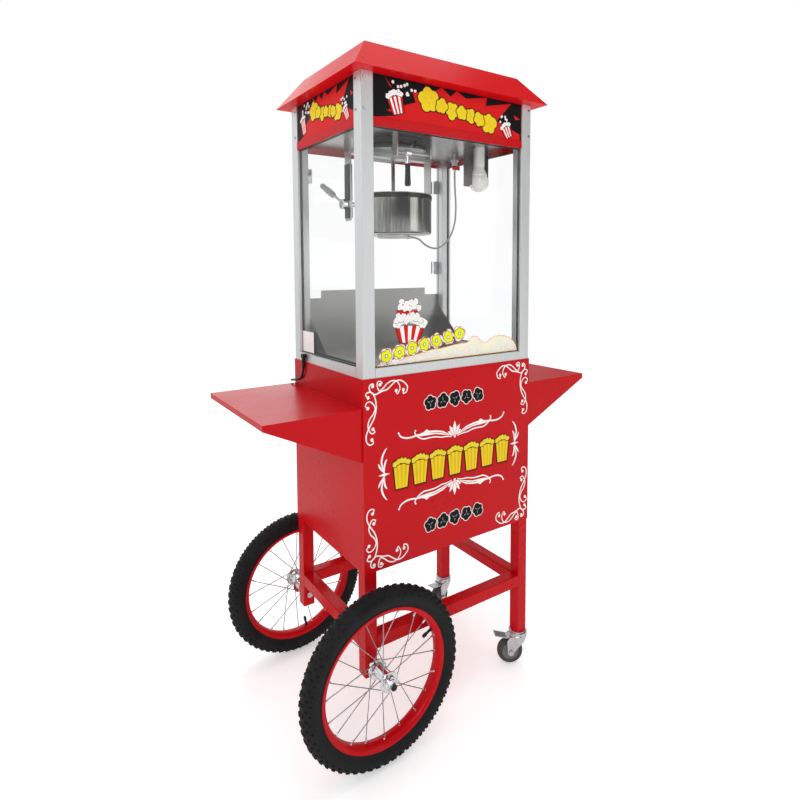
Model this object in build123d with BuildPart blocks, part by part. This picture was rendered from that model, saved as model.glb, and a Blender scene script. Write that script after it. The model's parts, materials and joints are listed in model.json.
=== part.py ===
from build123d import *
import math
import os

# A popcorn cart: a glazed popping cabinet on a red sheet-metal cart with two spoked
# wheels at its left end and two braked casters at its right end. Millimetres. The origin
# is on the floor under the middle of the cart body, +Z up, and the serving side faces -Y.

# ---- driving dimensions ----
SHEET = 1.2
BODY_X, BODY_Y = 261.0, 186.0          # half width and half depth of the cart body
BODY_BOTTOM, BODY_TOP = 417.0, 864.0
FRONT_RETURN = 18.0                    # how far the front sheet turns back round the sides
TUBE, TUBE_WALL = 32.0, 1.5            # square tube of the cart frame
LEG_X = BODY_X - SHEET - TUBE / 2
LEG_Y = BODY_Y - SHEET - TUBE / 2
RAIL_LOW = 230.0
LEG_LOW_WHEEL, LEG_LOW_CASTER = 170.0, 96.0

SHELF_REACH, SHELF_TOP, SHELF_LIP, GUSSET_DROP = 230.0, 797.0, 13.0, 122.0
SHELF_FRONT = -181.0

WHEEL_R, WHEEL_Y, AXLE_R = 203.0, 235.0, 6.0
RIM_R, SPOKES, SPOKE_R = 159.0, 20, 1.1
CASTER_R, CASTER_W, CASTER_TRAIL = 36.0, 24.0, 22.0
CASTER_TURN = {"front": 150.0, "rear": 195.0}

CAB_X, CAB_Y, POST = 259.0, 184.0, 32.0   # half sizes of the cabinet, and its posts
EAVE, ROOF_TOP = 1535.0, 1608.0
ROOF_OUT, ROOF_IN = 31.0, 57.0            # overhang of the eave, and set-in of the flat top
HEADER_LOW, HEADER_STEP = 1422.0, 1440.0
CEILING = 1440.0
RAIL_H = 22.0
GLASS, GLASS_SET = 4.0, 10.3              # pane thickness, and pane middle below the face
INNER_X, INNER_Y = CAB_X - POST, CAB_Y - POST

KETTLE_X, KETTLE_Y = -30.0, 40.0
KETTLE_R, KETTLE_LOW, KETTLE_TOP = 103.0, 1200.0, 1303.0
PIVOT_Z, TRUNNION_R = 1275.0, 6.0
HANGER_LEFT, HANGER_RIGHT = -166.0, 84.0
CROSSBAR_LOW, CROSSBAR_TOP = 1404.0, 1414.0
SHAFT_R, SHAFT_TOP = 5.0, 1400.0
RUNNING = 0.05                            # radial play of a turning shaft

LAMP_X, LAMP_Y = 192.0, -56.0
LEVER_X, LEVER_Y, LEVER_Z = -76.0, -96.0, 1392.0
DOOR_PIVOT_X, DOOR_Y = 220.0, 180.0
DOOR_LOW, DOOR_TOP = 1053.0, 1416.0
CLIP_LOW = (1092.0, 1342.0)
CLIP_H = 38.0
ROCKER_X = {"light": -50.0, "motor": 0.0, "heat": 50.0}
ROCKER_Z = 1486.0

STORE_LEFT, STORE_RIGHT = -176.0, 214.0   # door opening in the back of the cart body
STORE_LOW, STORE_TOP = 440.0, 846.0

CORD_R = 3.0
KETTLE_CORD_R = 2.5

os.makedirs("parts", exist_ok=True)


def block(x0, x1, y0, y1, z0, z1, mode=Mode.ADD):
    """A box between two corners, in the part being built."""
    with Locations(((x0 + x1) / 2, (y0 + y1) / 2, (z0 + z1) / 2)):
        Box(x1 - x0, y1 - y0, z1 - z0, mode=mode)


def rod(start, end, radius, mode=Mode.ADD):
    """A round bar between two points, in the part being built."""
    along = Vector(*end) - Vector(*start)
    with BuildSketch(Plane(origin=start, z_dir=along)) as section:
        Circle(radius)
    extrude(section.sketch, amount=along.length, mode=mode)


def square_tube(start, end, size, wall):
    """A square tube along X, Y or Z between two points, in the part being built."""
    along = Vector(*end) - Vector(*start)
    side = Vector(1, 0, 0) if abs(along.X) < 1 else Vector(0, 1, 0)
    with BuildSketch(Plane(origin=start, x_dir=side, z_dir=along)) as section:
        RectangleRounded(size, size, 2.5)
        RectangleRounded(size - 2 * wall, size - 2 * wall, 1.0, mode=Mode.SUBTRACT)
    extrude(section.sketch, amount=along.length)


def together(*builders):
    """Separate solids that share one node."""
    return Compound(children=[solid for builder in builders for solid in builder.part.solids()])


def save(piece, name):
    piece.label = name
    export_step(piece, f"parts/{name}.step")


# ---- cart frame ----
with BuildPart() as frame_legs:
    for side in (-1, 1):
        square_tube((-LEG_X, side * LEG_Y, LEG_LOW_WHEEL), (-LEG_X, side * LEG_Y, BODY_TOP - SHEET),
                    TUBE, TUBE_WALL)
        rod((-LEG_X, side * (LEG_Y - 20), WHEEL_R), (-LEG_X, side * (LEG_Y + 20), WHEEL_R),
            AXLE_R + 0.2, Mode.SUBTRACT)
        square_tube((LEG_X, side * LEG_Y, LEG_LOW_CASTER), (LEG_X, side * LEG_Y, BODY_TOP - SHEET),
                    TUBE, TUBE_WALL)
save(frame_legs.part, "frame_legs")

rail_z = RAIL_LOW + TUBE / 2
with BuildPart() as frame_rails:
    for side in (-1, 1):
        square_tube((-LEG_X + TUBE / 2, side * LEG_Y, rail_z), (LEG_X - TUBE / 2, side * LEG_Y, rail_z),
                    TUBE, TUBE_WALL)
        square_tube((side * LEG_X, -LEG_Y + TUBE / 2, rail_z), (side * LEG_X, LEG_Y - TUBE / 2, rail_z),
                    TUBE, TUBE_WALL)
save(frame_rails.part, "frame_rails")

# ---- cart body: a front tray with turned-back sides, flat side sheets, top, floor, back ----
with BuildPart() as cart_front_panel:
    with BuildSketch(Plane.XY.offset(BODY_BOTTOM)):
        with Locations((0, -BODY_Y + FRONT_RETURN / 2)):
            Rectangle(2 * BODY_X, FRONT_RETURN)
        with Locations((0, -BODY_Y + SHEET + FRONT_RETURN / 2)):
            Rectangle(2 * (BODY_X - SHEET), FRONT_RETURN, mode=Mode.SUBTRACT)
    extrude(amount=BODY_TOP - SHEET - BODY_BOTTOM)
    corners = cart_front_panel.edges().filter_by(Axis.Z).group_by(Axis.Y)[0]
    fillet(corners, 1.1)
save(cart_front_panel.part, "cart_front_panel")

with BuildPart() as cart_side_panels:
    for side in (-1, 1):
        low, high = sorted((side * BODY_X, side * (BODY_X - SHEET)))
        block(low, high, -BODY_Y + FRONT_RETURN, BODY_Y, BODY_BOTTOM, BODY_TOP - SHEET)
save(cart_side_panels.part, "cart_side_panels")

with BuildPart() as cart_top_panel:
    block(-BODY_X, BODY_X, -BODY_Y, BODY_Y, BODY_TOP - SHEET, BODY_TOP)
    fillet(cart_top_panel.edges().filter_by(Axis.Z), 1.1)
save(cart_top_panel.part, "cart_top_panel")

with BuildPart() as cart_floor_panel:
    block(-BODY_X + SHEET, BODY_X - SHEET, -BODY_Y + SHEET, BODY_Y - SHEET,
          BODY_BOTTOM, BODY_BOTTOM + SHEET)
    for x in (-LEG_X, LEG_X):
        for y in (-LEG_Y, LEG_Y):
            block(x - TUBE / 2, x + TUBE / 2, y - TUBE / 2, y + TUBE / 2,
                  BODY_BOTTOM - 1, BODY_BOTTOM + SHEET + 1, Mode.SUBTRACT)
save(cart_floor_panel.part, "cart_floor_panel")

CORD_HOLE_X, CORD_HOLE_Z, CORD_HOLE_R = -206.0, 784.0, 9.0
with BuildPart() as cart_back_frame:
    block(-BODY_X + SHEET, BODY_X - SHEET, BODY_Y - SHEET, BODY_Y, BODY_BOTTOM, BODY_TOP - SHEET)
    block(STORE_LEFT, STORE_RIGHT, BODY_Y - 5, BODY_Y + 5, STORE_LOW, STORE_TOP, Mode.SUBTRACT)
    rod((CORD_HOLE_X, BODY_Y - 5, CORD_HOLE_Z), (CORD_HOLE_X, BODY_Y + 5, CORD_HOLE_Z),
        CORD_HOLE_R, Mode.SUBTRACT)

# ---- rear storage door: lift-off pin hinges on the right, a turned knob on the left ----
HINGE_X, HINGE_Y, HINGE_PIN_R, KNUCKLE_R = STORE_RIGHT + 12, BODY_Y + 5.3, 2.5, 4.5
HINGE_Z = (510.0, 746.0)
KNUCKLE_H = 30.0
with BuildPart() as storage_door:
    block(STORE_LEFT - 8, STORE_RIGHT + 4, BODY_Y + 0.5, BODY_Y + 0.5 + SHEET, STORE_LOW - 8, STORE_TOP + 8)
    block(STORE_LEFT + 4, STORE_RIGHT - 4, BODY_Y - 10, BODY_Y + 0.5, STORE_LOW + 4, STORE_TOP - 4)
    block(STORE_LEFT + 5, STORE_RIGHT - 5, BODY_Y - 11, BODY_Y + 0.5, STORE_LOW + 5, STORE_TOP - 5,
          Mode.SUBTRACT)
    for z in HINGE_Z:
        rod((HINGE_X, HINGE_Y, z), (HINGE_X, HINGE_Y, z + KNUCKLE_H), KNUCKLE_R)
        block(STORE_RIGHT, HINGE_X, BODY_Y + 0.5, BODY_Y + 0.5 + 1.5 * SHEET, z, z + KNUCKLE_H)
        rod((HINGE_X, HINGE_Y, z - 1), (HINGE_X, HINGE_Y, z + KNUCKLE_H + 1),
            HINGE_PIN_R + RUNNING, Mode.SUBTRACT)

with BuildPart() as storage_hinge_pins:
    for z in HINGE_Z:
        rod((HINGE_X, HINGE_Y, z - 20), (HINGE_X, HINGE_Y, z - 0.4), KNUCKLE_R)
        rod((HINGE_X, HINGE_Y, z - 0.4), (HINGE_X, HINGE_Y, z + KNUCKLE_H - 3), HINGE_PIN_R)
        block(HINGE_X - 3, HINGE_X + 16, BODY_Y, BODY_Y + 2, z - 20, z - 0.4)
save(together(cart_back_frame, storage_hinge_pins), "cart_back_frame")

with BuildPart() as storage_door_knob:
    with BuildSketch(Plane.YZ.offset(STORE_LEFT + 22)):
        with BuildLine():
            y0, z0 = BODY_Y + 0.5 + SHEET, (STORE_LOW + STORE_TOP) / 2
            Polyline((y0, z0), (y0, z0 + 11), (y0 + 3, z0 + 11), (y0 + 8, z0 + 6.5), (y0 + 14, z0 + 8))
            ThreePointArc((y0 + 14, z0 + 8), (y0 + 20, z0 + 12), (y0 + 25, z0 + 9))
            Polyline((y0 + 25, z0 + 9), (y0 + 27.5, z0 + 6), (y0 + 28, z0 + 4), (y0 + 28, z0), (y0, z0))
        make_face()
    revolve(axis=Axis((STORE_LEFT + 22, y0, z0), (0, 1, 0)))
save(together(storage_door, storage_door_knob), "storage_door")

# ---- side shelves: one folded sheet each, with a lip outside and a gusset front and back ----
for side, name in ((-1, "shelf_left"), (1, "shelf_right")):
    root_x, tip_x = side * BODY_X, side * (BODY_X + SHELF_REACH)
    low_x, high_x = min(root_x, tip_x), max(root_x, tip_x)
    with BuildPart() as shelf:
        block(low_x, high_x, SHELF_FRONT, BODY_Y, SHELF_TOP - SHEET, SHELF_TOP)
        lip_x = tip_x - side * SHEET
        block(min(tip_x, lip_x), max(tip_x, lip_x), SHELF_FRONT, BODY_Y, SHELF_TOP - SHELF_LIP, SHELF_TOP)
        for face_y in (SHELF_FRONT + SHEET, BODY_Y):
            with BuildSketch(Plane.XZ.offset(-face_y)):
                with BuildLine():
                    Polyline((root_x, SHELF_TOP), (tip_x, SHELF_TOP), (tip_x, SHELF_TOP - SHELF_LIP),
                             (root_x, SHELF_TOP - GUSSET_DROP), close=True)
                make_face()
            extrude(amount=SHEET)
        foot_x = root_x + side * SHEET
        block(min(root_x, foot_x), max(root_x, foot_x), SHELF_FRONT, BODY_Y,
              SHELF_TOP - 22, SHELF_TOP)
    save(shelf.part, name)

# ---- stub axles, each with a head inside the leg, a spacer and an outer nut ----
HUB_IN, HUB_OUT = WHEEL_Y - 35, WHEEL_Y + 35
with BuildPart() as axle_stubs:
    for side in (-1, 1):
        inner_end, outer_end = side * (LEG_Y - TUBE / 2 - 8), side * (HUB_OUT + 11)
        rod((-LEG_X, inner_end, WHEEL_R), (-LEG_X, outer_end, WHEEL_R), AXLE_R)
        leg_face = LEG_Y + TUBE / 2
        rod((-LEG_X, side * (leg_face + 0.01), WHEEL_R), (-LEG_X, side * (HUB_IN - 0.3), WHEEL_R), 10)
        for near in (LEG_Y - TUBE / 2 - 7, HUB_OUT + 0.3):
            with BuildSketch(Plane(origin=(-LEG_X, side * near, WHEEL_R), z_dir=(0, side, 0))) as nut:
                RegularPolygon(9.5, 6)
            extrude(nut.sketch, amount=6.9)
save(axle_stubs.part, "axle_stubs")

# ---- spoked wheels: tyre, rim, crossed spokes and a flanged hub on plain bearings ----
FLANGE_R, FLANGE_Y, SPOKE_CIRCLE, SPOKE_END = 23.0, 24.0, 19.0, 147.5
for side, end in ((-1, "front"), (1, "rear")):
    middle = Plane(origin=(-LEG_X, side * WHEEL_Y, WHEEL_R), x_dir=(1, 0, 0), z_dir=(0, 0, 1))
    spin = Axis((-LEG_X, side * WHEEL_Y, WHEEL_R), (0, 1, 0))
    section = Plane(origin=(-LEG_X, side * WHEEL_Y, WHEEL_R), x_dir=(0, 1, 0), z_dir=(1, 0, 0))
    with BuildPart() as tyre:
        with BuildSketch(section):
            with BuildLine():
                Polyline((0, 153), (14.6, 153), (14.6, 160.5))
                ThreePointArc((14.6, 160.5), (23.2, 177), (19.5, 193))
                ThreePointArc((19.5, 193), (11, 200.6), (0, WHEEL_R))
                Line((0, WHEEL_R), (0, 153))
            make_face()
            mirror(about=Plane.YZ)
        revolve(axis=spin)
    save(tyre.part, f"{end}_tyre")
    with BuildPart() as rim:
        with BuildSketch(section):
            with BuildLine():
                Polyline((0, 152.6), (14.9, 152.6), (14.9, RIM_R - 1), (16, RIM_R), (17, RIM_R - 1),
                         (17, 151), (13, 147), (0, 145.5), close=True)
            make_face()
            mirror(about=Plane.YZ)
        revolve(axis=spin)
    save(rim.part, f"{end}_rim")
    with BuildPart() as hub:
        with BuildSketch(section):
            with BuildLine():
                Polyline((0, AXLE_R + RUNNING), (35, AXLE_R + RUNNING), (35, 11), (33, 13), (26, 15),
                         (26, FLANGE_R), (FLANGE_Y - 1, FLANGE_R), (FLANGE_Y - 1, 16), (18, 13.5), (0, 13),
                         close=True)
            make_face()
            mirror(about=Plane.YZ)
        revolve(axis=spin)
    save(hub.part, f"{end}_hub")
    spokes = []
    for number in range(SPOKES):
        turn = 2 * math.pi * number / SPOKES
        flange = -1 if number % 2 else 1
        leading = number % 4 < 2
        lean = math.radians(62) * (1 if leading else -1)
        # leading spokes lie outside the flange and trailing ones inside it, so they cross clear
        root_y = side * WHEEL_Y + flange * (FLANGE_Y + (1.4 if leading else -1.7))
        start = (-LEG_X + SPOKE_CIRCLE * math.cos(turn + lean), root_y,
                 WHEEL_R + SPOKE_CIRCLE * math.sin(turn + lean))
        finish = (-LEG_X + SPOKE_END * math.cos(turn), side * WHEEL_Y + flange * 3,
                  WHEEL_R + SPOKE_END * math.sin(turn))
        with BuildPart() as spoke:
            rod(start, finish, SPOKE_R)
        spokes.append(spoke)
    save(together(*spokes), f"{end}_spokes")

# ---- casters: stems in the legs, then each swivelling fork, its wheel and its brake pedal ----
with BuildPart() as caster_stems:
    for side in (-1, 1):
        rod((LEG_X, side * LEG_Y, 86.5), (LEG_X, side * LEG_Y, 93), 25)
        rod((LEG_X, side * LEG_Y, 93), (LEG_X, side * LEG_Y, LEG_LOW_CASTER), 21)
        rod((LEG_X, side * LEG_Y, LEG_LOW_CASTER), (LEG_X, side * LEG_Y, LEG_LOW_CASTER + 28), 6)
        block(LEG_X - 13.9, LEG_X + 13.9, side * LEG_Y - 13.9, side * LEG_Y + 13.9,
              LEG_LOW_CASTER + 4, LEG_LOW_CASTER + 20)
save(caster_stems.part, "caster_stems")

PEDAL_X, PEDAL_Z, PEDAL_R = 14.0, 74.6, 2.0
for side, end in ((-1, "front"), (1, "rear")):
    # local frame: the swivel axis is Z and the wheel trails along +X
    stand = Location((LEG_X, side * LEG_Y, 0), (0, 0, CASTER_TURN[end]))
    with BuildPart() as fork:
        with BuildSketch(Plane.XY.offset(79)):
            Circle(23)
        extrude(amount=7, taper=12)
        for cheek in (-1, 1):
            inner_y = cheek * (CASTER_W / 2 + 2)
            with BuildSketch(Plane.XZ.offset(-inner_y)) as plate:
                with BuildLine():
                    Polyline((-20, 79.5), (24, 79.5), (33, 68), (CASTER_TRAIL + 9, CASTER_R))
                    ThreePointArc((CASTER_TRAIL + 9, CASTER_R), (CASTER_TRAIL, CASTER_R - 9),
                                  (CASTER_TRAIL - 9, CASTER_R))
                    Polyline((CASTER_TRAIL - 9, CASTER_R), (-14, 66), (-20, 79.5))
                make_face()
            extrude(plate.sketch, amount=-cheek * 2.5)
            outer_y = cheek * (CASTER_W / 2 + 4.5)
            rod((CASTER_TRAIL, outer_y, CASTER_R), (CASTER_TRAIL, outer_y + cheek * 5, CASTER_R), 6.5)
        rod((CASTER_TRAIL, -18, CASTER_R), (CASTER_TRAIL, 18, CASTER_R), 4)
        rod((PEDAL_X, -16, PEDAL_Z), (PEDAL_X, 16, PEDAL_Z), PEDAL_R)
    save(fork.part.moved(stand), f"{end}_caster_fork")
    with BuildPart() as roller:
        with BuildSketch(Plane.XZ) as tread:
            with BuildLine():
                Polyline((4 + RUNNING, 0), (4 + RUNNING, CASTER_W / 2), (11, CASTER_W / 2), (13, 9),
                         (23, 9), (25, 11), (31, 11))
                ThreePointArc((31, 11), (34.6, 7), (CASTER_R, 0))
                Line((CASTER_R, 0), (4 + RUNNING, 0))
            make_face()
            mirror(about=Plane.XZ)
        revolve(axis=Axis.Z)
    turned = Location((CASTER_TRAIL, 0, CASTER_R), (90, 0, 0))
    save(roller.part.moved(stand * turned), f"{end}_caster_wheel")
    with BuildPart() as pedal:
        with BuildSketch(Plane.XZ) as profile:
            with BuildLine():
                Polyline((PEDAL_X - 3, PEDAL_Z + 3.4), (PEDAL_X + 20, PEDAL_Z + 3.4), (66, 85.4), (67, 83.2),
                         (PEDAL_X + 20, PEDAL_Z + 1.2), (PEDAL_X - 3, PEDAL_Z + 1.2), close=True)
            make_face()
        extrude(profile.sketch, amount=12.5, both=True)
        for y in (-10, 10):
            block(PEDAL_X - 5, PEDAL_X + 5, y - 1, y + 1, PEDAL_Z - 2.6, PEDAL_Z + 1.6)
        rod((PEDAL_X, -14, PEDAL_Z), (PEDAL_X, 14, PEDAL_Z), PEDAL_R + RUNNING, Mode.SUBTRACT)
    save(pedal.part.moved(stand), f"{end}_caster_pedal")

# ---- cabinet frame: four grooved posts and four base rails in light alloy ----
with BuildPart() as cabinet_posts:
    for sx in (-1, 1):
        for sy in (-1, 1):
            x, y = sx * (CAB_X - POST / 2), sy * (CAB_Y - POST / 2)
            with BuildSketch(Plane.XY.offset(BODY_TOP)) as outline:
                with Locations((x, y)):
                    RectangleRounded(POST, POST, 1.5)
                    Rectangle(POST - 3, POST - 3, mode=Mode.SUBTRACT)
                gx, gy = sx * (CAB_X - GLASS_SET), sy * (CAB_Y - GLASS_SET)
                with Locations((sx * (INNER_X + 4.25), gy)):
                    Rectangle(8.5, GLASS + 3)
                with Locations((gx, sy * (INNER_Y + 4.25))):
                    Rectangle(GLASS + 3, 8.5)
                with Locations((sx * (INNER_X + 3.5), gy)):
                    Rectangle(7.2, GLASS + 0.4, mode=Mode.SUBTRACT)
                with Locations((gx, sy * (INNER_Y + 3.5))):
                    Rectangle(GLASS + 0.4, 7.2, mode=Mode.SUBTRACT)
            extrude(outline.sketch, amount=EAVE - BODY_TOP)


def base_rail_part(deep0, deep1, z0, z1, mode=Mode.ADD):
    """One stretch of section in all four rails, by depth in from the cabinet's faces."""
    for side in (-1, 1):
        low, high = sorted((side * (CAB_Y - deep0), side * (CAB_Y - deep1)))
        block(-INNER_X, INNER_X, low, high, BODY_TOP + z0, BODY_TOP + z1, mode)
        low, high = sorted((side * (CAB_X - deep0), side * (CAB_X - deep1)))
        block(low, high, -INNER_Y, INNER_Y, BODY_TOP + z0, BODY_TOP + z1, mode)


with BuildPart() as base_rails:
    base_rail_part(0, 20, 0, RAIL_H)
    base_rail_part(1.5, 18.5, 1.5, 13.5, Mode.SUBTRACT)
    base_rail_part(GLASS_SET - 2.2, GLASS_SET + 2.2, RAIL_H - 6, RAIL_H + 1, Mode.SUBTRACT)

# ---- glazing ----
PANE_LOW, PANE_TOP = BODY_TOP + RAIL_H - 6, 1432.0
glass_y, glass_x = CAB_Y - GLASS_SET, CAB_X - GLASS_SET
with BuildPart() as front_glass:
    block(-INNER_X - 6, INNER_X + 6, -glass_y - GLASS / 2, -glass_y + GLASS / 2, PANE_LOW, PANE_TOP)
save(front_glass.part, "front_glass")
with BuildPart() as side_glass:
    for side in (-1, 1):
        block(side * glass_x - GLASS / 2, side * glass_x + GLASS / 2, -INNER_Y - 6, INNER_Y + 6,
              PANE_LOW, PANE_TOP)
save(side_glass.part, "side_glass")

# ---- popcorn deck with its back guard and sloping cheeks, one folded stainless sheet ----
DECK, GUARD_Y, GUARD_TOP, GUARD_STEP = 886.0, 176.0, 1028.0, 1049.0
with BuildPart() as popcorn_deck:
    block(-INNER_X + 0.2, INNER_X - 0.2, -INNER_Y - 12, GUARD_Y + SHEET, DECK, DECK + SHEET)
    block(-INNER_X + 0.2, INNER_X - 0.2, GUARD_Y, GUARD_Y + SHEET, DECK, GUARD_TOP)
    block(-183, 176, GUARD_Y, GUARD_Y + SHEET, GUARD_TOP - 1, GUARD_STEP)
    for side in (-1, 1):
        face = side * (INNER_X - 0.2) - (SHEET if side > 0 else 0)
        with BuildSketch(Plane.YZ.offset(face)):
            with BuildLine():
                Polyline((GUARD_Y, DECK), (GUARD_Y, 998), (GUARD_Y - 119, DECK), close=True)
            make_face()
        extrude(amount=SHEET)
save(popcorn_deck.part, "popcorn_deck")

# ---- header: four folded panels with a rounded trim lip below, ceiling and hipped roof ----
HEADER_SET = 3.0
with BuildPart() as header_panels:
    for sy in (-1, 1):
        for y0, y1, z0, z1 in ((HEADER_SET, HEADER_SET + SHEET, HEADER_STEP, EAVE - 0.2),
                               (0, HEADER_SET + SHEET, HEADER_STEP, HEADER_STEP + SHEET),
                               (0, SHEET, HEADER_LOW, HEADER_STEP + SHEET),
                               (0, 6.5, HEADER_LOW, HEADER_LOW + SHEET)):
            low, high = sorted((sy * (CAB_Y - y0), sy * (CAB_Y - y1)))
            block(-INNER_X, INNER_X, low, high, z0, z1)
            low, high = sorted((sy * (CAB_X - y0), sy * (CAB_X - y1)))
            block(low, high, -INNER_Y, INNER_Y, z0, z1)
    for x in ROCKER_X.values():
        block(x - 11, x + 11, CAB_Y - 10, CAB_Y + 5, ROCKER_Z - 15, ROCKER_Z + 15, Mode.SUBTRACT)

with BuildPart() as ceiling_plate:
    block(-INNER_X + 0.2, INNER_X - 0.2, -CAB_Y + 4.4, CAB_Y - 4.4, CEILING, CEILING + SHEET)
    block(-CAB_X + 4.4, CAB_X - 4.4, -INNER_Y + 0.2, INNER_Y - 0.2, CEILING, CEILING + SHEET)
    rod((KETTLE_X, KETTLE_Y, CEILING - 1), (KETTLE_X, KETTLE_Y, CEILING + 3), 7, Mode.SUBTRACT)
save(ceiling_plate.part, "ceiling_plate")

eave_x, eave_y = 2 * (CAB_X + ROOF_OUT), 2 * (CAB_Y + ROOF_OUT)
flat_x, flat_y = eave_x - 2 * ROOF_IN, eave_y - 2 * ROOF_IN
with BuildPart() as roof:
    with BuildSketch(Plane.XY.offset(EAVE)) as eave_line:
        Rectangle(eave_x, eave_y)
    with BuildSketch(Plane.XY.offset(ROOF_TOP)) as flat_line:
        Rectangle(flat_x, flat_y)
    loft([eave_line.sketch.face(), flat_line.sketch.face()])
    with BuildSketch(Plane.XY.offset(EAVE + SHEET)) as inside_low:
        Rectangle(eave_x - 5, eave_y - 5)
    with BuildSketch(Plane.XY.offset(ROOF_TOP - SHEET)) as inside_high:
        Rectangle(flat_x - 3, flat_y - 3)
    loft([inside_low.sketch.face(), inside_high.sketch.face()], mode=Mode.SUBTRACT)
    block(-INNER_X + 20, INNER_X - 20, -INNER_Y + 20, INNER_Y - 20, EAVE - 1, EAVE + 3, Mode.SUBTRACT)
save(roof.part, "roof")

# ---- pan-head screws: header to posts, and the cart body sheets to its legs ----
def screw(spot, out):
    """A pan head standing on a face at spot, pointing out."""
    with BuildSketch(Plane(origin=spot, z_dir=out)) as head:
        Circle(3.6)
    extrude(head.sketch, amount=1.6, taper=25)


with BuildPart() as panel_screws:
    for sx in (-1, 1):
        for sy in (-1, 1):
            for z in (1455.0, 1521.0):
                screw((sx * (CAB_X - 8), sy * CAB_Y, z), (0, sy, 0))
                screw((sx * CAB_X, sy * (CAB_Y - 22), z), (sx, 0, 0))
    for sx in (-1, 1):
        for y in (-120.0, 30.0, 150.0):
            screw((sx * (BODY_X + SHEET), y, SHELF_TOP - 14), (sx, 0, 0))
save(panel_screws.part, "panel_screws")

# ---- rear acrylic doors: pin brackets on the posts, clips and knob on each door ----
PIN_R, CLIP_X, CLIP_Y = 2.0, 14.0, 4.5
with BuildPart() as door_brackets:
    for side in (-1, 1):
        px = side * DOOR_PIVOT_X
        low, high = sorted((side * INNER_X, side * (DOOR_PIVOT_X - 2.6)))
        block(low, high, DOOR_Y - 4, DOOR_Y + 2.6, CLIP_LOW[0] - 2.3, CLIP_LOW[0] - 0.3)
        rod((px, DOOR_Y, CLIP_LOW[0] - 2), (px, DOOR_Y, CLIP_LOW[0] + 8), PIN_R)
        clip_top = CLIP_LOW[1] + CLIP_H
        block(low, high, DOOR_Y - 4, DOOR_Y + 2.6, clip_top + 0.3, clip_top + 2.3)
        rod((px, DOOR_Y, clip_top - 8), (px, DOOR_Y, clip_top + 2), PIN_R)
save(together(cabinet_posts, base_rails, door_brackets), "cabinet_frame")

for side, end in ((-1, "left"), (1, "right")):
    px = side * DOOR_PIVOT_X
    with BuildPart() as leaf:
        low, high = sorted((side * (DOOR_PIVOT_X - 4), side * 1.2))
        block(low, high, DOOR_Y - 2, DOOR_Y + 2, DOOR_LOW, DOOR_TOP)
    save(leaf.part, f"{end}_cabinet_door")
    with BuildPart() as fittings:
        for z in CLIP_LOW:
            low, high = sorted((side * (DOOR_PIVOT_X + 5), side * (DOOR_PIVOT_X - CLIP_X)))
            block(low, high, DOOR_Y - CLIP_Y, DOOR_Y + CLIP_Y, z, z + CLIP_H)
            low, high = sorted((side * (DOOR_PIVOT_X - 4), side * (DOOR_PIVOT_X - CLIP_X - 1)))
            block(low, high, DOOR_Y - 2, DOOR_Y + 2, z - 1, z + CLIP_H + 1, Mode.SUBTRACT)
        rod((px, DOOR_Y, CLIP_LOW[0] - 1), (px, DOOR_Y, CLIP_LOW[0] + 9), PIN_R + RUNNING, Mode.SUBTRACT)
        top = CLIP_LOW[1] + CLIP_H
        rod((px, DOOR_Y, top - 9), (px, DOOR_Y, top + 1), PIN_R + RUNNING, Mode.SUBTRACT)
        rod((side * 20, DOOR_Y + 2, 1210), (side * 20, DOOR_Y + 12, 1210), 5)
        rod((side * 20, DOOR_Y + 12, 1210), (side * 20, DOOR_Y + 24, 1210), 10)
    save(fittings.part, f"{end}_door_fittings")

# ---- hood, crossbar and hangers above the kettle, and the drive in the header ----
with BuildPart() as steam_hood:
    with BuildSketch(Plane.XY.offset(CROSSBAR_TOP)) as drum:
        with Locations((KETTLE_X, KETTLE_Y)):
            Circle(KETTLE_R + 3)
    extrude(drum.sketch, amount=CEILING - CROSSBAR_TOP)
    rod((KETTLE_X, KETTLE_Y, CROSSBAR_TOP + SHEET), (KETTLE_X, KETTLE_Y, CEILING + 1), KETTLE_R + 2,
        Mode.SUBTRACT)
    rod((KETTLE_X, KETTLE_Y, CROSSBAR_TOP - 1), (KETTLE_X, KETTLE_Y, CROSSBAR_TOP + 3), 8, Mode.SUBTRACT)
save(steam_hood.part, "steam_hood")

with BuildPart() as kettle_hangers:
    block(HANGER_LEFT - 6, HANGER_RIGHT + 8, KETTLE_Y - 14, KETTLE_Y + 14, CROSSBAR_LOW, CROSSBAR_TOP)
    block(HANGER_LEFT - 4, HANGER_LEFT, KETTLE_Y - 14, KETTLE_Y + 14, 1233, CROSSBAR_LOW)
    block(HANGER_LEFT - 6, HANGER_LEFT + 3, KETTLE_Y - 12, KETTLE_Y + 12, 1240, 1376)
    block(HANGER_RIGHT, HANGER_RIGHT + 4, KETTLE_Y - 14, KETTLE_Y + 14, 1258, CROSSBAR_LOW)
    for x in (HANGER_LEFT - 3, HANGER_RIGHT + 5):
        block(x - 3, x + 3, KETTLE_Y - 14, KETTLE_Y + 14, CROSSBAR_TOP, CEILING)
    rod((HANGER_LEFT - 10, KETTLE_Y, PIVOT_Z), (HANGER_RIGHT + 10, KETTLE_Y, PIVOT_Z),
        TRUNNION_R + RUNNING, Mode.SUBTRACT)
    rod((KETTLE_X, KETTLE_Y, CROSSBAR_LOW - 1), (KETTLE_X, KETTLE_Y, CROSSBAR_TOP + 1), 8, Mode.SUBTRACT)

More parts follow.
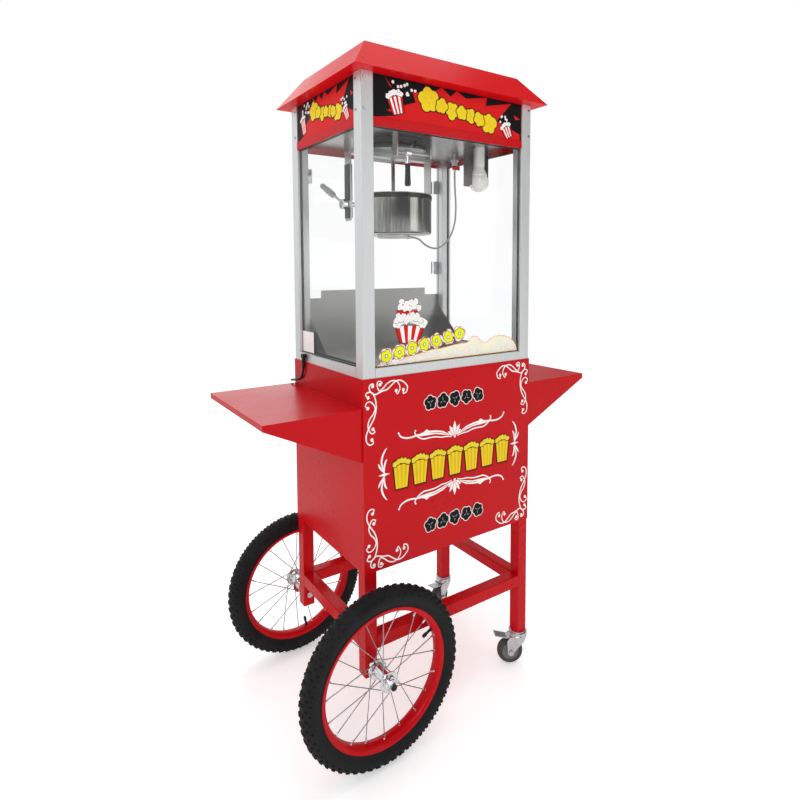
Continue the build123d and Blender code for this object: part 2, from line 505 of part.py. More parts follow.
with BuildPart() as drive_motor:
    rod((KETTLE_X, KETTLE_Y, CEILING + SHEET), (KETTLE_X, KETTLE_Y, CEILING + 26), 34)
    block(KETTLE_X - 26, KETTLE_X + 26, KETTLE_Y - 24, KETTLE_Y + 24, CEILING + 26, CEILING + 84)
    rod((KETTLE_X, KETTLE_Y, CEILING), (KETTLE_X, KETTLE_Y, CEILING + 20), SHAFT_R + RUNNING, Mode.SUBTRACT)
save(drive_motor.part, "drive_motor")

with BuildPart() as drive_spindle:
    rod((KETTLE_X, KETTLE_Y, SHAFT_TOP + 1), (KETTLE_X, KETTLE_Y, CEILING + 19), SHAFT_R)
    rod((KETTLE_X, KETTLE_Y, SHAFT_TOP + 1), (KETTLE_X, KETTLE_Y, SHAFT_TOP + 9), SHAFT_R + 2)
save(drive_spindle.part, "drive_spindle")

# ---- kettle: pot on trunnions with its band and heater cover, lid, flap and stirrer ----
COVER_R, GLAND_Z = 44.0, KETTLE_LOW - 5.0
GLAND_X = KETTLE_X + COVER_R + 12
LID_Z, FLAP_Y = KETTLE_TOP + 0.01, KETTLE_Y - 12.0
with BuildPart() as kettle_pot:
    with BuildSketch(Plane.XZ.offset(-KETTLE_Y)) as wall:
        with BuildLine():
            Polyline((0, KETTLE_LOW), (KETTLE_R - 4, KETTLE_LOW), (KETTLE_R, KETTLE_LOW + 4),
                     (KETTLE_R, KETTLE_TOP - 10), (KETTLE_R + 2, KETTLE_TOP - 9), (KETTLE_R + 2, KETTLE_TOP),
                     (KETTLE_R - 2, KETTLE_TOP), (KETTLE_R - 2, KETTLE_LOW + 5),
                     (KETTLE_R - 5, KETTLE_LOW + 2), (0, KETTLE_LOW + 2), close=True)
        make_face()
    revolve(wall.sketch.moved(Location((KETTLE_X, 0, 0))), axis=Axis((KETTLE_X, KETTLE_Y, 0), (0, 0, 1)))
    rod((HANGER_LEFT - 9, KETTLE_Y, PIVOT_Z), (KETTLE_X - KETTLE_R + 1, KETTLE_Y, PIVOT_Z), TRUNNION_R)
    rod((KETTLE_X + KETTLE_R - 1, KETTLE_Y, PIVOT_Z), (HANGER_RIGHT + 9, KETTLE_Y, PIVOT_Z), TRUNNION_R)
    rod((KETTLE_X, KETTLE_Y, KETTLE_LOW - 9), (KETTLE_X, KETTLE_Y, KETTLE_LOW + 0.5), COVER_R)
    rod((KETTLE_X + COVER_R - 3, KETTLE_Y, GLAND_Z), (GLAND_X, KETTLE_Y, GLAND_Z), 4)
save(kettle_pot.part, "kettle_pot")

with BuildPart() as kettle_lid:
    rod((KETTLE_X, KETTLE_Y, LID_Z), (KETTLE_X, KETTLE_Y, LID_Z + 1.5), KETTLE_R)
    block(KETTLE_X - 120, KETTLE_X + 120, KETTLE_Y - 120, FLAP_Y, LID_Z - 1, LID_Z + 4, Mode.SUBTRACT)
    rod((KETTLE_X, KETTLE_Y, LID_Z - 1), (KETTLE_X, KETTLE_Y, LID_Z + 4), SHAFT_R + 0.6, Mode.SUBTRACT)
    for x in (KETTLE_X - 60, KETTLE_X + 60):
        block(x - 10, x + 10, FLAP_Y, FLAP_Y + 8, LID_Z + 1.5, LID_Z + 3)
        rod((x - 10, FLAP_Y - 0.5, LID_Z + 4), (x + 10, FLAP_Y - 0.5, LID_Z + 4), 2.5)
        rod((x - 11, FLAP_Y - 0.5, LID_Z + 4), (x + 11, FLAP_Y - 0.5, LID_Z + 4), 1.5 + RUNNING,
            Mode.SUBTRACT)
save(kettle_lid.part, "kettle_lid")

with BuildPart() as kettle_flap:
    rod((KETTLE_X, KETTLE_Y, LID_Z + 0.3), (KETTLE_X, KETTLE_Y, LID_Z + 1.8), KETTLE_R)
    block(KETTLE_X - 120, KETTLE_X + 120, FLAP_Y - 4.5, KETTLE_Y + 120, LID_Z - 1, LID_Z + 4, Mode.SUBTRACT)
    for x in (KETTLE_X - 60, KETTLE_X + 60):
        rod((x - 19, FLAP_Y - 0.5, LID_Z + 4), (x + 19, FLAP_Y - 0.5, LID_Z + 4), 1.5)
        for tab in (-15, 15):
            block(x + tab - 4, x + tab + 4, FLAP_Y - 8, FLAP_Y - 0.5, LID_Z + 1, LID_Z + 4.2)
    block(KETTLE_X - 18, KETTLE_X + 18, KETTLE_Y - 92, KETTLE_Y - 80, LID_Z + 1, LID_Z + 3.4)
save(kettle_flap.part, "kettle_flap")

with BuildPart() as agitator:
    rod((KETTLE_X, KETTLE_Y, KETTLE_LOW + 3), (KETTLE_X, KETTLE_Y, SHAFT_TOP), SHAFT_R)
    rod((KETTLE_X, KETTLE_Y, KETTLE_LOW + 4), (KETTLE_X, KETTLE_Y, KETTLE_LOW + 24), 10)
    with BuildSketch(Plane.XY.offset(KETTLE_LOW + 5)) as blades:
        with Locations((KETTLE_X, KETTLE_Y)):
            Rectangle(178, 10)
    extrude(blades.sketch, amount=7)
save(agitator.part, "agitator")

HANDLE_X, HANDLE_DY, HANDLE_DZ = HANGER_LEFT - 16.0, 124.0, 62.0
def along_handle(share):
    return (HANDLE_X, KETTLE_Y + share * HANDLE_DY, PIVOT_Z + share * HANDLE_DZ)


with BuildPart() as dump_handle:
    rod((HANDLE_X - 7, KETTLE_Y, PIVOT_Z), (HANDLE_X + 7, KETTLE_Y, PIVOT_Z), 13)
    rod(along_handle(0), along_handle(0.5), 4)
    rod(along_handle(0.42), along_handle(1.0), 8.5)
save(dump_handle.part, "dump_handle")

# ---- release lever on its cross shaft in front of the kettle ----
ROD_R = 4.0
with BuildPart() as lever_bracket:
    for x in (LEVER_X - 36, LEVER_X + 64):
        block(x - 1.5, x + 1.5, LEVER_Y - 10, LEVER_Y + 10, LEVER_Z - 10, CEILING)
    rod((LEVER_X - 40, LEVER_Y, LEVER_Z), (LEVER_X + 70, LEVER_Y, LEVER_Z), ROD_R)
save(together(kettle_hangers, lever_bracket), "kettle_hangers")

with BuildPart() as release_lever:
    rod((LEVER_X - 8, LEVER_Y, LEVER_Z), (LEVER_X + 8, LEVER_Y, LEVER_Z), 8.5)
    rod((LEVER_X, LEVER_Y, LEVER_Z - 24), (LEVER_X, LEVER_Y, LEVER_Z), 4.5)
    rod((LEVER_X, LEVER_Y, LEVER_Z - 26), (LEVER_X, LEVER_Y, LEVER_Z - 20), 7)
    rod((LEVER_X, LEVER_Y, LEVER_Z - 80), (LEVER_X, LEVER_Y, LEVER_Z - 26), 8)
    rod((LEVER_X - 9, LEVER_Y, LEVER_Z), (LEVER_X + 9, LEVER_Y, LEVER_Z), ROD_R + RUNNING, Mode.SUBTRACT)
save(release_lever.part, "release_lever")

# ---- warming lamp: three-sided shade, ceramic holder and bulb ----
SHADE, SHADE_LOW, SHADE_FRONT = 30.0, 1338.0, 6.0
HOLDER_LOW = 1388.0
with BuildPart() as lamp_shade:
    block(LAMP_X - SHADE, LAMP_X + SHADE, LAMP_Y + SHADE - 1, LAMP_Y + SHADE, SHADE_LOW, CEILING)
    for side in (-1, 1):
        low, high = sorted((LAMP_X + side * SHADE, LAMP_X + side * (SHADE - 1)))
        block(low, high, LAMP_Y - SHADE_FRONT, LAMP_Y + SHADE, SHADE_LOW, CEILING)
save(lamp_shade.part, "lamp_shade")
with BuildPart() as lamp_socket:
    rod((LAMP_X, LAMP_Y, HOLDER_LOW), (LAMP_X, LAMP_Y, CEILING), 16)
    rod((LAMP_X, LAMP_Y, HOLDER_LOW - 1), (LAMP_X, LAMP_Y, HOLDER_LOW + 23), 13.2, Mode.SUBTRACT)
save(lamp_socket.part, "lamp_socket")
with BuildPart() as lamp_bulb:
    with BuildSketch(Plane.XZ.offset(-LAMP_Y)) as glass:
        with BuildLine():
            Polyline((0, 1410), (13, 1410), (13, 1386))
            Spline((13, 1386), (21, 1370), (27, 1348), (21, 1328), (0, 1320),
                   tangents=((0, -1), (-1, 0)))
            Line((0, 1320), (0, 1410))
        make_face()
    revolve(glass.sketch.moved(Location((LAMP_X, 0, 0))), axis=Axis((LAMP_X, LAMP_Y, 0), (0, 0, 1)))
save(lamp_bulb.part, "lamp_bulb")

# ---- rocker switches in the rear header panel ----
with BuildPart() as switch_bezels:
    for x in ROCKER_X.values():
        block(x - 14, x + 14, CAB_Y - HEADER_SET, CAB_Y - HEADER_SET + 2, ROCKER_Z - 18, ROCKER_Z + 18)
        block(x - 9.4, x + 9.4, CAB_Y - 10, CAB_Y + 5, ROCKER_Z - 13.8, ROCKER_Z + 13.8, Mode.SUBTRACT)
save(together(header_panels, switch_bezels), "header_panels")

ROCKER_TILT = 6.0
for name, x in ROCKER_X.items():
    pivot = Location((x, CAB_Y - HEADER_SET - 1, ROCKER_Z), (ROCKER_TILT, 0, 0))
    with BuildPart() as rocker:
        with BuildSketch(Plane.YZ) as profile:
            with BuildLine():
                Polyline((-5, -11), (3, -12.6), (4.6, -12), (2.6, 0), (4.6, 12), (3, 12.6), (-5, 11),
                         close=True)
            make_face()
        extrude(profile.sketch, amount=8.8, both=True)
        rod((-9.1, 0, 0), (9.1, 0, 0), 1.5)
    save(rocker.part.moved(pivot), f"rocker_{name}")

# ---- kettle lead: braided, from its ceiling connector down and into the heater cover ----
def cord_tube(points, radius, label):
    """A round tube along straight runs joined by tangent arcs; prints its radii and length."""
    spots = [Vector(*p) for p in points]
    radii = []
    for a, b, c in zip(spots, spots[1:], spots[2:]):
        turn = math.radians((b - a).get_angle(c - b))
        shorter = min((b - a).length, (c - b).length)
        radii.append(0.45 * shorter / math.tan(turn / 2))
    with BuildPart() as tube:
        with BuildLine() as path:
            FilletPolyline(*points, radius=radii)
        with BuildSketch(Plane(origin=path.wire() @ 0, z_dir=path.wire() % 0)):
            Circle(radius)
        sweep()
    run = path.wire().length
    area = math.pi * radius ** 2
    print(label, "radii", [round(r, 1) for r in radii], "length", round(run, 1),
          "volume share", round(tube.part.volume / (area * run), 4))
    return tube.part


CONNECTOR_X, CONNECTOR_Y = 184.0, 40.0
with BuildPart() as kettle_connector:
    rod((CONNECTOR_X, CONNECTOR_Y, 1418), (CONNECTOR_X, CONNECTOR_Y, CEILING), 12)
    rod((CONNECTOR_X, CONNECTOR_Y, 1404), (CONNECTOR_X, CONNECTOR_Y, 1418), 8)
save(kettle_connector.part, "kettle_connector")

KETTLE_CORD = [
    (CONNECTOR_X, CONNECTOR_Y, 1404), (CONNECTOR_X, CONNECTOR_Y, 1352), (CONNECTOR_X + 6, CONNECTOR_Y, 1292),
    (CONNECTOR_X + 2, CONNECTOR_Y, 1235), (CONNECTOR_X - 24, CONNECTOR_Y, 1186),
    (CONNECTOR_X - 66, CONNECTOR_Y, 1162), (CONNECTOR_X - 108, CONNECTOR_Y, 1174),
    (GLAND_X + 28, KETTLE_Y, GLAND_Z), (GLAND_X + 0.3, KETTLE_Y, GLAND_Z),
]
save(cord_tube(KETTLE_CORD, KETTLE_CORD_R, "kettle_cable"), "kettle_cable")

# ---- mains lead: down the left side, round the back corner, in by a hole and coiled inside ----
GLAND_Y, CORD_START = 118.0, 872.0
CORD_X = -CAB_X - 6
with BuildPart() as mains_gland:
    block(CORD_X - 5, -CAB_X, GLAND_Y - 7, GLAND_Y + 7, CORD_START + 2, CORD_START + 13)
    rod((CORD_X, GLAND_Y, CORD_START), (CORD_X, GLAND_Y, CORD_START + 4), 4.5)
save(mains_gland.part, "mains_gland")

COIL_X, COIL_Y, COIL_INNER, COIL_OUTER, COIL_H = -110.0, 60.0, 27.0, 39.0, 18.0
FLOOR_Z = BODY_BOTTOM + SHEET
MAINS_CORD = [
    (CORD_X, GLAND_Y, CORD_START), (CORD_X, GLAND_Y, 826), (CORD_X - 1, 168, 808), (CORD_X, 218, 800),
    (CORD_X + 62, 223, 795), (-208, 162, 780), (-206, 152, 700), (-210, 150, 620),
    (-205, 147, 545), (-204, 143, 480), (-200, 139, FLOOR_Z + CORD_R), (COIL_X - 36, 112, FLOOR_Z + CORD_R),
    (COIL_X - 36, COIL_Y, FLOOR_Z + CORD_R),
]
save(cord_tube(MAINS_CORD, CORD_R, "mains_cord"), "mains_cord")

with BuildPart() as mains_coil:
    with BuildSketch(Plane.XY.offset(FLOOR_Z)):
        with Locations((COIL_X, COIL_Y)):
            Circle(COIL_OUTER)
            Circle(COIL_INNER, mode=Mode.SUBTRACT)
    extrude(amount=COIL_H)
save(mains_coil.part, "mains_coil")

PLUG_X, PLUG_Y, PLUG_H = COIL_X + 36, COIL_Y + 42, 26.0
with BuildPart() as mains_plug:
    with BuildSketch(Plane.XZ.offset(-PLUG_Y)) as grip:
        with Locations((PLUG_X, FLOOR_Z + PLUG_H / 2)):
            RectangleRounded(34, PLUG_H, 10)
    extrude(grip.sketch, amount=-36)
    PLUG_Z = FLOOR_Z + PLUG_H / 2
    rod((PLUG_X, COIL_Y + 12, PLUG_Z), (PLUG_X, PLUG_Y + 1, PLUG_Z), 5)
    for x in (PLUG_X - 9.5, PLUG_X + 9.5):
        rod((x, PLUG_Y + 35, PLUG_Z), (x, PLUG_Y + 55, PLUG_Z), 2.4)
save(mains_plug.part, "mains_plug")
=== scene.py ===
import bmesh
import bpy
import json
import random
from math import asin, copysign, cos, hypot, pi, radians, sin, sqrt, tau

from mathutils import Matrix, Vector


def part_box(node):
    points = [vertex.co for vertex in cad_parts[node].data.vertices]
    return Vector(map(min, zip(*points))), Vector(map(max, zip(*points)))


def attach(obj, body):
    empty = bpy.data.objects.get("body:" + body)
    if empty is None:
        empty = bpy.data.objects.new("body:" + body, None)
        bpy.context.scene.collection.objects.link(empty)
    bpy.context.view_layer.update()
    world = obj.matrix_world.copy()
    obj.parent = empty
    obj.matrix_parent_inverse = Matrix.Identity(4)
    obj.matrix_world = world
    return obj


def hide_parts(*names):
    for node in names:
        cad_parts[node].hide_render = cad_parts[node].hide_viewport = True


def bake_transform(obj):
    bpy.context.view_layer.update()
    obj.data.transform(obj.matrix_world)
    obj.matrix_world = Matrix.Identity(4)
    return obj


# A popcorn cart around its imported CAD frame. Shapes are written in millimetres and scaled to metres
# when a piece is made. The serving side faces -Y and the spoked wheels are at -X.
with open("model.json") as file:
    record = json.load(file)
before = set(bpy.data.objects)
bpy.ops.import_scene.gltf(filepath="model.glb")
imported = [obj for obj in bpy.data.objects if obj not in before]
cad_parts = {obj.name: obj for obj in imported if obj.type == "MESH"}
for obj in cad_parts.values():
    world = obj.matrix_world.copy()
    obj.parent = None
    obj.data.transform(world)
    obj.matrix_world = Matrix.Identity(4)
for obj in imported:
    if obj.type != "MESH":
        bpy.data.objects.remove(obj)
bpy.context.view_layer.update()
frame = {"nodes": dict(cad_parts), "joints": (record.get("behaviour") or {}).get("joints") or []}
joints = {joint["name"]: joint for joint in frame["joints"]}
MM = 0.001


def span(name):
    """The lowest and highest corner of a CAD node, in millimetres."""
    low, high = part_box(name)
    return Vector(low) / MM, Vector(high) / MM


def middle(name):
    low, high = span(name)
    return (low + high) / 2


def pivot(joint):
    """The place of a joint, in millimetres."""
    return Vector(joints[joint]["pos_m"]) / MM


def placed(name, data):
    """A new object in the scene."""
    new = bpy.data.objects.new(name, data)
    bpy.context.scene.collection.objects.link(new)
    return new


# ---- camera and light ----
CAMERA_AT = (-0.8827, -1.2613, 1.1119)
CAMERA_TURN = (86.08, 0.28, -33.88)
FOCAL, SENSOR, SHIFT_UP = 25.55, 36.0, -0.117
camera = placed("camera", bpy.data.cameras.new("camera"))
camera.location = CAMERA_AT
camera.rotation_euler = [radians(angle) for angle in CAMERA_TURN]
camera.data.sensor_width = SENSOR
camera.data.lens = FOCAL
camera.data.shift_y = SHIFT_UP
camera.data.clip_start = 0.02
bpy.context.scene.camera = camera


def area_light(name, spot, target, width, height, power):
    lamp = placed(name, bpy.data.lights.new(name, "AREA"))
    lamp.location = spot
    lamp.rotation_euler = (Vector(target) - Vector(spot)).to_track_quat("-Z", "Y").to_euler()
    lamp.data.shape = "RECTANGLE"
    lamp.data.size = width
    lamp.data.size_y = height
    lamp.data.energy = power


area_light("key", (-2.6, -3.0, 3.0), (0, 0, 0.9), 2.2, 2.2, 52)
area_light("fill", (2.1, -3.5, 1.8), (0, 0, 0.8), 1.8, 2.4, 18)
area_light("top", (0.2, 0.3, 4.2), (0, 0, 0.8), 3.0, 3.0, 42)
area_light("back", (1.2, 3.4, 2.4), (0, 0, 1.0), 2.6, 2.0, 14)


def feed(tree, target, value):
    """Sets an input to a value, or links it to another node's output."""
    if isinstance(value, bpy.types.NodeSocket):
        tree.links.new(value, target)
    else:
        target.default_value = value


def add(tree, kind, inputs=None, **settings):
    """One shader node with what its inputs are fed and its settings."""
    new = tree.nodes.new(kind)
    for key, value in settings.items():
        setattr(new, key, value)
    for key, value in (inputs or {}).items():
        feed(tree, new.inputs[key], value)
    return new


# ---- studio: a bright sweep behind and above, a dimmer room on the serving side ----
world = bpy.data.worlds.new("studio")
bpy.context.scene.world = world
bpy.context.scene.view_settings.view_transform = "Standard"
world.use_nodes = True
studio = world.node_tree
room = studio.nodes["Background"]
room.inputs["Color"].default_value = (0.98, 0.99, 1.0, 1)
heading = add(studio, "ShaderNodeTexCoord").outputs["Generated"]
parts = add(studio, "ShaderNodeSeparateXYZ", {"Vector": heading}).outputs
dim = add(studio, "ShaderNodeMapRange", {"Value": parts["Y"], "From Min": -0.9, "From Max": 0.1,
                                         "To Min": 0.30, "To Max": 0.92})
heading_right = add(studio, "ShaderNodeMath", {0: parts["X"], 1: parts["Y"]}, operation="SUBTRACT")
# the caster end of the room is dark in reflections
dark_side = add(studio, "ShaderNodeMapRange", {"Value": heading_right.outputs["Value"], "From Min": -0.30,
                                               "From Max": 0.25, "To Min": 1.0, "To Max": 0.15})
ray_kind = add(studio, "ShaderNodeLightPath").outputs
mirrored = add(studio, "ShaderNodeMix", {"Factor": ray_kind["Is Glossy Ray"], "A": 1.0,
                                         "B": dark_side.outputs["Result"]})
strength = add(studio, "ShaderNodeMath", {0: dim.outputs["Result"], 1: mirrored.outputs["Result"]},
               operation="MULTIPLY")
feed(studio, room.inputs["Strength"], strength.outputs["Value"])
backdrop = add(studio, "ShaderNodeBackground", {"Color": (1.0, 1.0, 1.0, 1), "Strength": 1.0})
seen = add(studio, "ShaderNodeMixShader", {0: ray_kind["Is Camera Ray"], 1: room.outputs["Background"],
                                           2: backdrop.outputs["Background"]})
feed(studio, studio.nodes["World Output"].inputs["Surface"], seen.outputs["Shader"])


# ---- materials ----
def shades(tree, source, stops):
    """A colour ramp driven by source; stops are (place, colour)."""
    ramp = add(tree, "ShaderNodeValToRGB", {"Fac": source})
    while len(ramp.color_ramp.elements) < len(stops):
        ramp.color_ramp.elements.new(0.5)
    for element, (place, colour) in zip(ramp.color_ramp.elements, stops):
        element.position = place
        element.color = (*colour, 1)
    return ramp.outputs["Color"]


def scaled(colour, share):
    return tuple(min(1.0, channel * share) for channel in colour)


def finish(name, colour, rough, metal=0.0, stretch=(1, 1, 1), grain=700.0, depth=0.00001,
           cloud=9.0, vary=0.08, rough_vary=0.06, **fixed):
    """A material with soft colour variation, uneven roughness and a fine surface grain."""
    material = bpy.data.materials.new(name)
    material.use_nodes = True
    tree = material.node_tree
    place = add(tree, "ShaderNodeTexCoord").outputs["Object"]
    lay = add(tree, "ShaderNodeMapping", {"Vector": place, "Scale": stretch}).outputs["Vector"]
    patches = add(tree, "ShaderNodeTexNoise",
                  {"Vector": lay, "Scale": cloud, "Detail": 5.0, "Roughness": 0.6}).outputs["Fac"]
    fine = add(tree, "ShaderNodeTexNoise", {"Vector": lay, "Scale": grain, "Detail": 3.0}).outputs["Fac"]
    tint = shades(tree, patches, [(0.3, scaled(colour, 1 - vary)), (0.7, scaled(colour, 1 + vary))])
    blur = add(tree, "ShaderNodeMapRange", {"Value": patches, "From Min": 0.3, "From Max": 0.7,
                                            "To Min": max(0.01, rough - rough_vary),
                                            "To Max": rough + rough_vary})
    bump = add(tree, "ShaderNodeBump", {"Height": fine, "Distance": depth, "Strength": 1.0})
    look = {"Base Color": tint, "Roughness": blur.outputs["Result"], "Normal": bump.outputs["Normal"],
            "Metallic": metal}
    look.update((key.replace("_", " "), value) for key, value in fixed.items())
    for key, value in look.items():
        feed(tree, tree.nodes["Principled BSDF"].inputs[key], value)
    return material


def pane(name, tint, film):
    """A thin clear sheet: it mirrors more at a slant and lets the rest through."""
    material = finish(name, tint, 0.03, metal=1.0, cloud=4.0, vary=0.02, rough_vary=0.02, depth=0.0)
    tree = material.node_tree
    slant = add(tree, "ShaderNodeLayerWeight", {"Blend": 0.5})
    steep = add(tree, "ShaderNodeMath", {0: slant.outputs["Facing"], 1: 5.0}, operation="POWER")
    seen = add(tree, "ShaderNodeMapRange", {"Value": steep.outputs["Value"], "From Min": 0.0,
                                            "From Max": 1.0, "To Min": film, "To Max": 0.9})
    feed(tree, tree.nodes["Principled BSDF"].inputs["Alpha"], seen.outputs["Result"])
    return material


def streaked(name, colour, rough, stretch, contrast, cloud=22.0):
    """Polished sheet with long light and dark streaks: faint ones are rolled grain, strong ones are painted
    reflections.
    """
    return finish(name, colour, rough, metal=1.0, stretch=stretch, grain=260.0, depth=0.000001,
                  cloud=cloud, vary=contrast, rough_vary=0.04)


def enamel(name, colour, shine, coat):
    """Glossy baked paint."""
    return finish(name, colour, 0.30, depth=0.000002, grain=420.0, cloud=5.0, vary=0.04,
                  Specular_IOR_Level=shine, Coat_Weight=coat, Coat_Roughness=0.04)


red_paint = enamel("red_paint", (0.50, 0.0025, 0.006), 0.11, 0.05)
roof_paint = enamel("roof_paint", (0.62, 0.003, 0.007), 0.07, 0.03)
alloy = finish("alloy", (0.72, 0.73, 0.73), 0.42, metal=0.85, stretch=(60, 60, 1.2), grain=40.0,
               depth=0.000008, cloud=3.0, vary=0.05)
stainless = streaked("stainless", (0.50, 0.50, 0.485), 0.30, (1, 40, 40), 0.035, 14.0)
# the kettle's strong vertical light and dark streaks are painted reflections of the room on its polished wall
kettle_steel = streaked("kettle_steel", (0.36, 0.36, 0.34), 0.16, (34, 34, 0.6), 0.55)
# the steam hood's near-black colour is painted reflection of the dark header, not the steel's own tone
painted_reflection_hood_steel = streaked("painted_reflection_hood_steel", (0.065, 0.07, 0.068), 0.16, (1, 1, 12), 0.12, 3.0)
deck_steel = streaked("deck_steel", (0.40, 0.40, 0.39), 0.36, (1, 40, 40), 0.05, 14.0)
# the lamp shade's darker colour is painted dark reflection, not the steel's own tone
painted_reflection_shade_steel = streaked("painted_reflection_shade_steel", (0.24, 0.24, 0.235), 0.24, (40, 40, 1), 0.10, 14.0)


def metal(name, colour, rough, grain, depth, cloud, vary):
    return finish(name, colour, rough, metal=1.0, grain=grain, depth=depth, cloud=cloud, vary=vary)


chrome = metal("chrome", (0.80, 0.81, 0.82), 0.14, 900.0, 0.000003, 40.0, 0.08)
spoke_steel = metal("spoke_steel", (0.40, 0.41, 0.42), 0.24, 900.0, 0.0, 40.0, 0.08)
zinc = metal("zinc", (0.66, 0.67, 0.69), 0.30, 500.0, 0.000008, 60.0, 0.12)
brass = metal("brass", (0.72, 0.52, 0.24), 0.26, 800.0, 0.000006, 80.0, 0.15)


def dull(name, colour, rough, grain, depth, cloud, vary, rough_vary, shine):
    """Rubber or plastic."""
    return finish(name, colour, rough, grain=grain, depth=depth, cloud=cloud, vary=vary,
                  rough_vary=rough_vary, Specular_IOR_Level=shine)


tyre_rubber = dull("tyre_rubber", (0.012, 0.012, 0.013), 0.62, 1400.0, 0.00004, 30.0, 0.35, 0.12, 0.15)
caster_rubber = dull("caster_rubber", (0.055, 0.052, 0.05), 0.55, 1200.0, 0.00003, 50.0, 0.3, 0.1, 0.3)
caster_core = dull("caster_core", (0.16, 0.155, 0.15), 0.4, 900.0, 0.00001, 60.0, 0.15, 0.06, 0.3)
black_plastic = dull("black_plastic", (0.014, 0.014, 0.015), 0.36, 1500.0, 0.00002, 40.0, 0.3, 0.08, 0.2)
seal_grey = dull("seal_grey", (0.055, 0.056, 0.058), 0.5, 1300.0, 0.00001, 40.0, 0.15, 0.06, 0.3)
grey_grip = dull("grey_grip", (0.27, 0.28, 0.30), 0.45, 1300.0, 0.00002, 60.0, 0.12, 0.06, 0.35)
ceramic = finish("ceramic", (0.82, 0.81, 0.77), 0.2, grain=300.0, cloud=40.0, vary=0.05, Coat_Weight=0.5)
frosted = finish("frosted", (0.86, 0.86, 0.84), 0.24, grain=500.0, depth=0.000004, cloud=60.0, vary=0.04,
                 Transmission_Weight=0.25, Subsurface_Weight=0.2, Coat_Weight=0.4,
                 Emission_Color=(1.0, 0.97, 0.92, 1.0), Emission_Strength=0.08)
dark_band = finish("dark_band", (0.05, 0.048, 0.045), 0.3, metal=0.9, stretch=(3, 3, 30), cloud=12.0,
                   vary=0.4)
braid = finish("braid", (0.40, 0.40, 0.40), 0.5, metal=0.5, grain=2200.0, depth=0.00005, cloud=900.0,
               vary=0.4, rough_vary=0.15)
cord_black = finish("cord_black", (0.012, 0.012, 0.013), 0.42, grain=1100.0, cloud=60.0, vary=0.3)
clear_glass = pane("clear_glass", (0.93, 0.96, 0.95), 0.012)
acrylic = pane("acrylic", (0.95, 0.96, 0.97), 0.016)
INKS = {
    "white_ink": (0.88, 0.84, 0.82), "black_ink": (0.006, 0.006, 0.007), "yellow_ink": (0.78, 0.60, 0.015),
    "sign_red": (0.62, 0.009, 0.010), "lemon_ink": (0.78, 0.80, 0.02), "pink_ink": (0.72, 0.13, 0.22),
    "orange_ink": (0.90, 0.33, 0.02), "cream_ink": (0.86, 0.82, 0.66), "grey_ink": (0.42, 0.44, 0.46),
    "shadow_ink": (0.30, 0.005, 0.01), "amber_ink": (0.72, 0.42, 0.010), "tan_ink": (0.62, 0.50, 0.30),
}
ink = {name: finish(name, colour, 0.4, grain=900.0, depth=0.000004, cloud=25.0, vary=0.05,
                    Specular_IOR_Level=0.10) for name, colour in INKS.items()}


# ---- CAD nodes that stay: each gets its material, and sharp edges are eased ----
def keep(material, ease, *names):
    """CAD nodes that show as they are, with a small round on their sharp edges."""
    for name in names:
        cad = frame["nodes"][name]
        cad.data.materials.clear()
        cad.data.materials.append(material)
        weld = cad.modifiers.new("weld", "WELD")
        weld.merge_threshold = 0.000002
        if ease:
            bevel = cad.modifiers.new("ease", "BEVEL")
            bevel.width = ease * MM
            bevel.segments = 2
            bevel.limit_method = "ANGLE"
            bevel.angle_limit = radians(40)
            bevel.harden_normals = True


keep(red_paint, 0.3, "frame_legs", "frame_rails", "cart_front_panel", "cart_side_panels", "cart_top_panel",
     "cart_floor_panel", "cart_back_frame", "storage_door", "shelf_left", "shelf_right", "header_panels")
keep(roof_paint, 0.8, "roof")
keep(chrome, 0, "front_hub", "rear_hub")
keep(spoke_steel, 0, "front_spokes", "rear_spokes")
keep(spoke_steel, 0.3, "panel_screws")
keep(chrome, 0.3, "axle_stubs", "left_door_fittings", "right_door_fittings")
keep(zinc, 0.3, "caster_stems", "front_caster_fork", "rear_caster_fork", "front_caster_pedal",
     "rear_caster_pedal", "drive_motor")
keep(alloy, 0.25, "cabinet_frame")
keep(clear_glass, 0.2, "front_glass", "side_glass")
keep(acrylic, 0.2, "left_cabinet_door", "right_cabinet_door")
keep(painted_reflection_hood_steel, 0.25, "steam_hood")
keep(deck_steel, 0.25, "popcorn_deck")
keep(stainless, 0.25, "ceiling_plate", "kettle_hangers", "kettle_lid",
     "kettle_flap", "agitator", "drive_spindle", "kettle_connector")
keep(painted_reflection_shade_steel, 0.25, "lamp_shade")
keep(black_plastic, 0.5, "rocker_light", "rocker_motor", "rocker_heat", "mains_gland")
keep(ceramic, 0.5, "lamp_socket")


# ---- making pieces ----
UP = (0, 0, 1)


def frames(path):
    """Each point of a path with two directions across it, which turn as little as they can."""
    across = None
    for k, spot in enumerate(path):
        ahead = (path[min(k + 1, len(path) - 1)] - path[max(k - 1, 0)]).normalized()
        across = ahead.orthogonal() if across is None else across - ahead * across.dot(ahead)
        across.normalize()
        yield spot, across, ahead.cross(across)


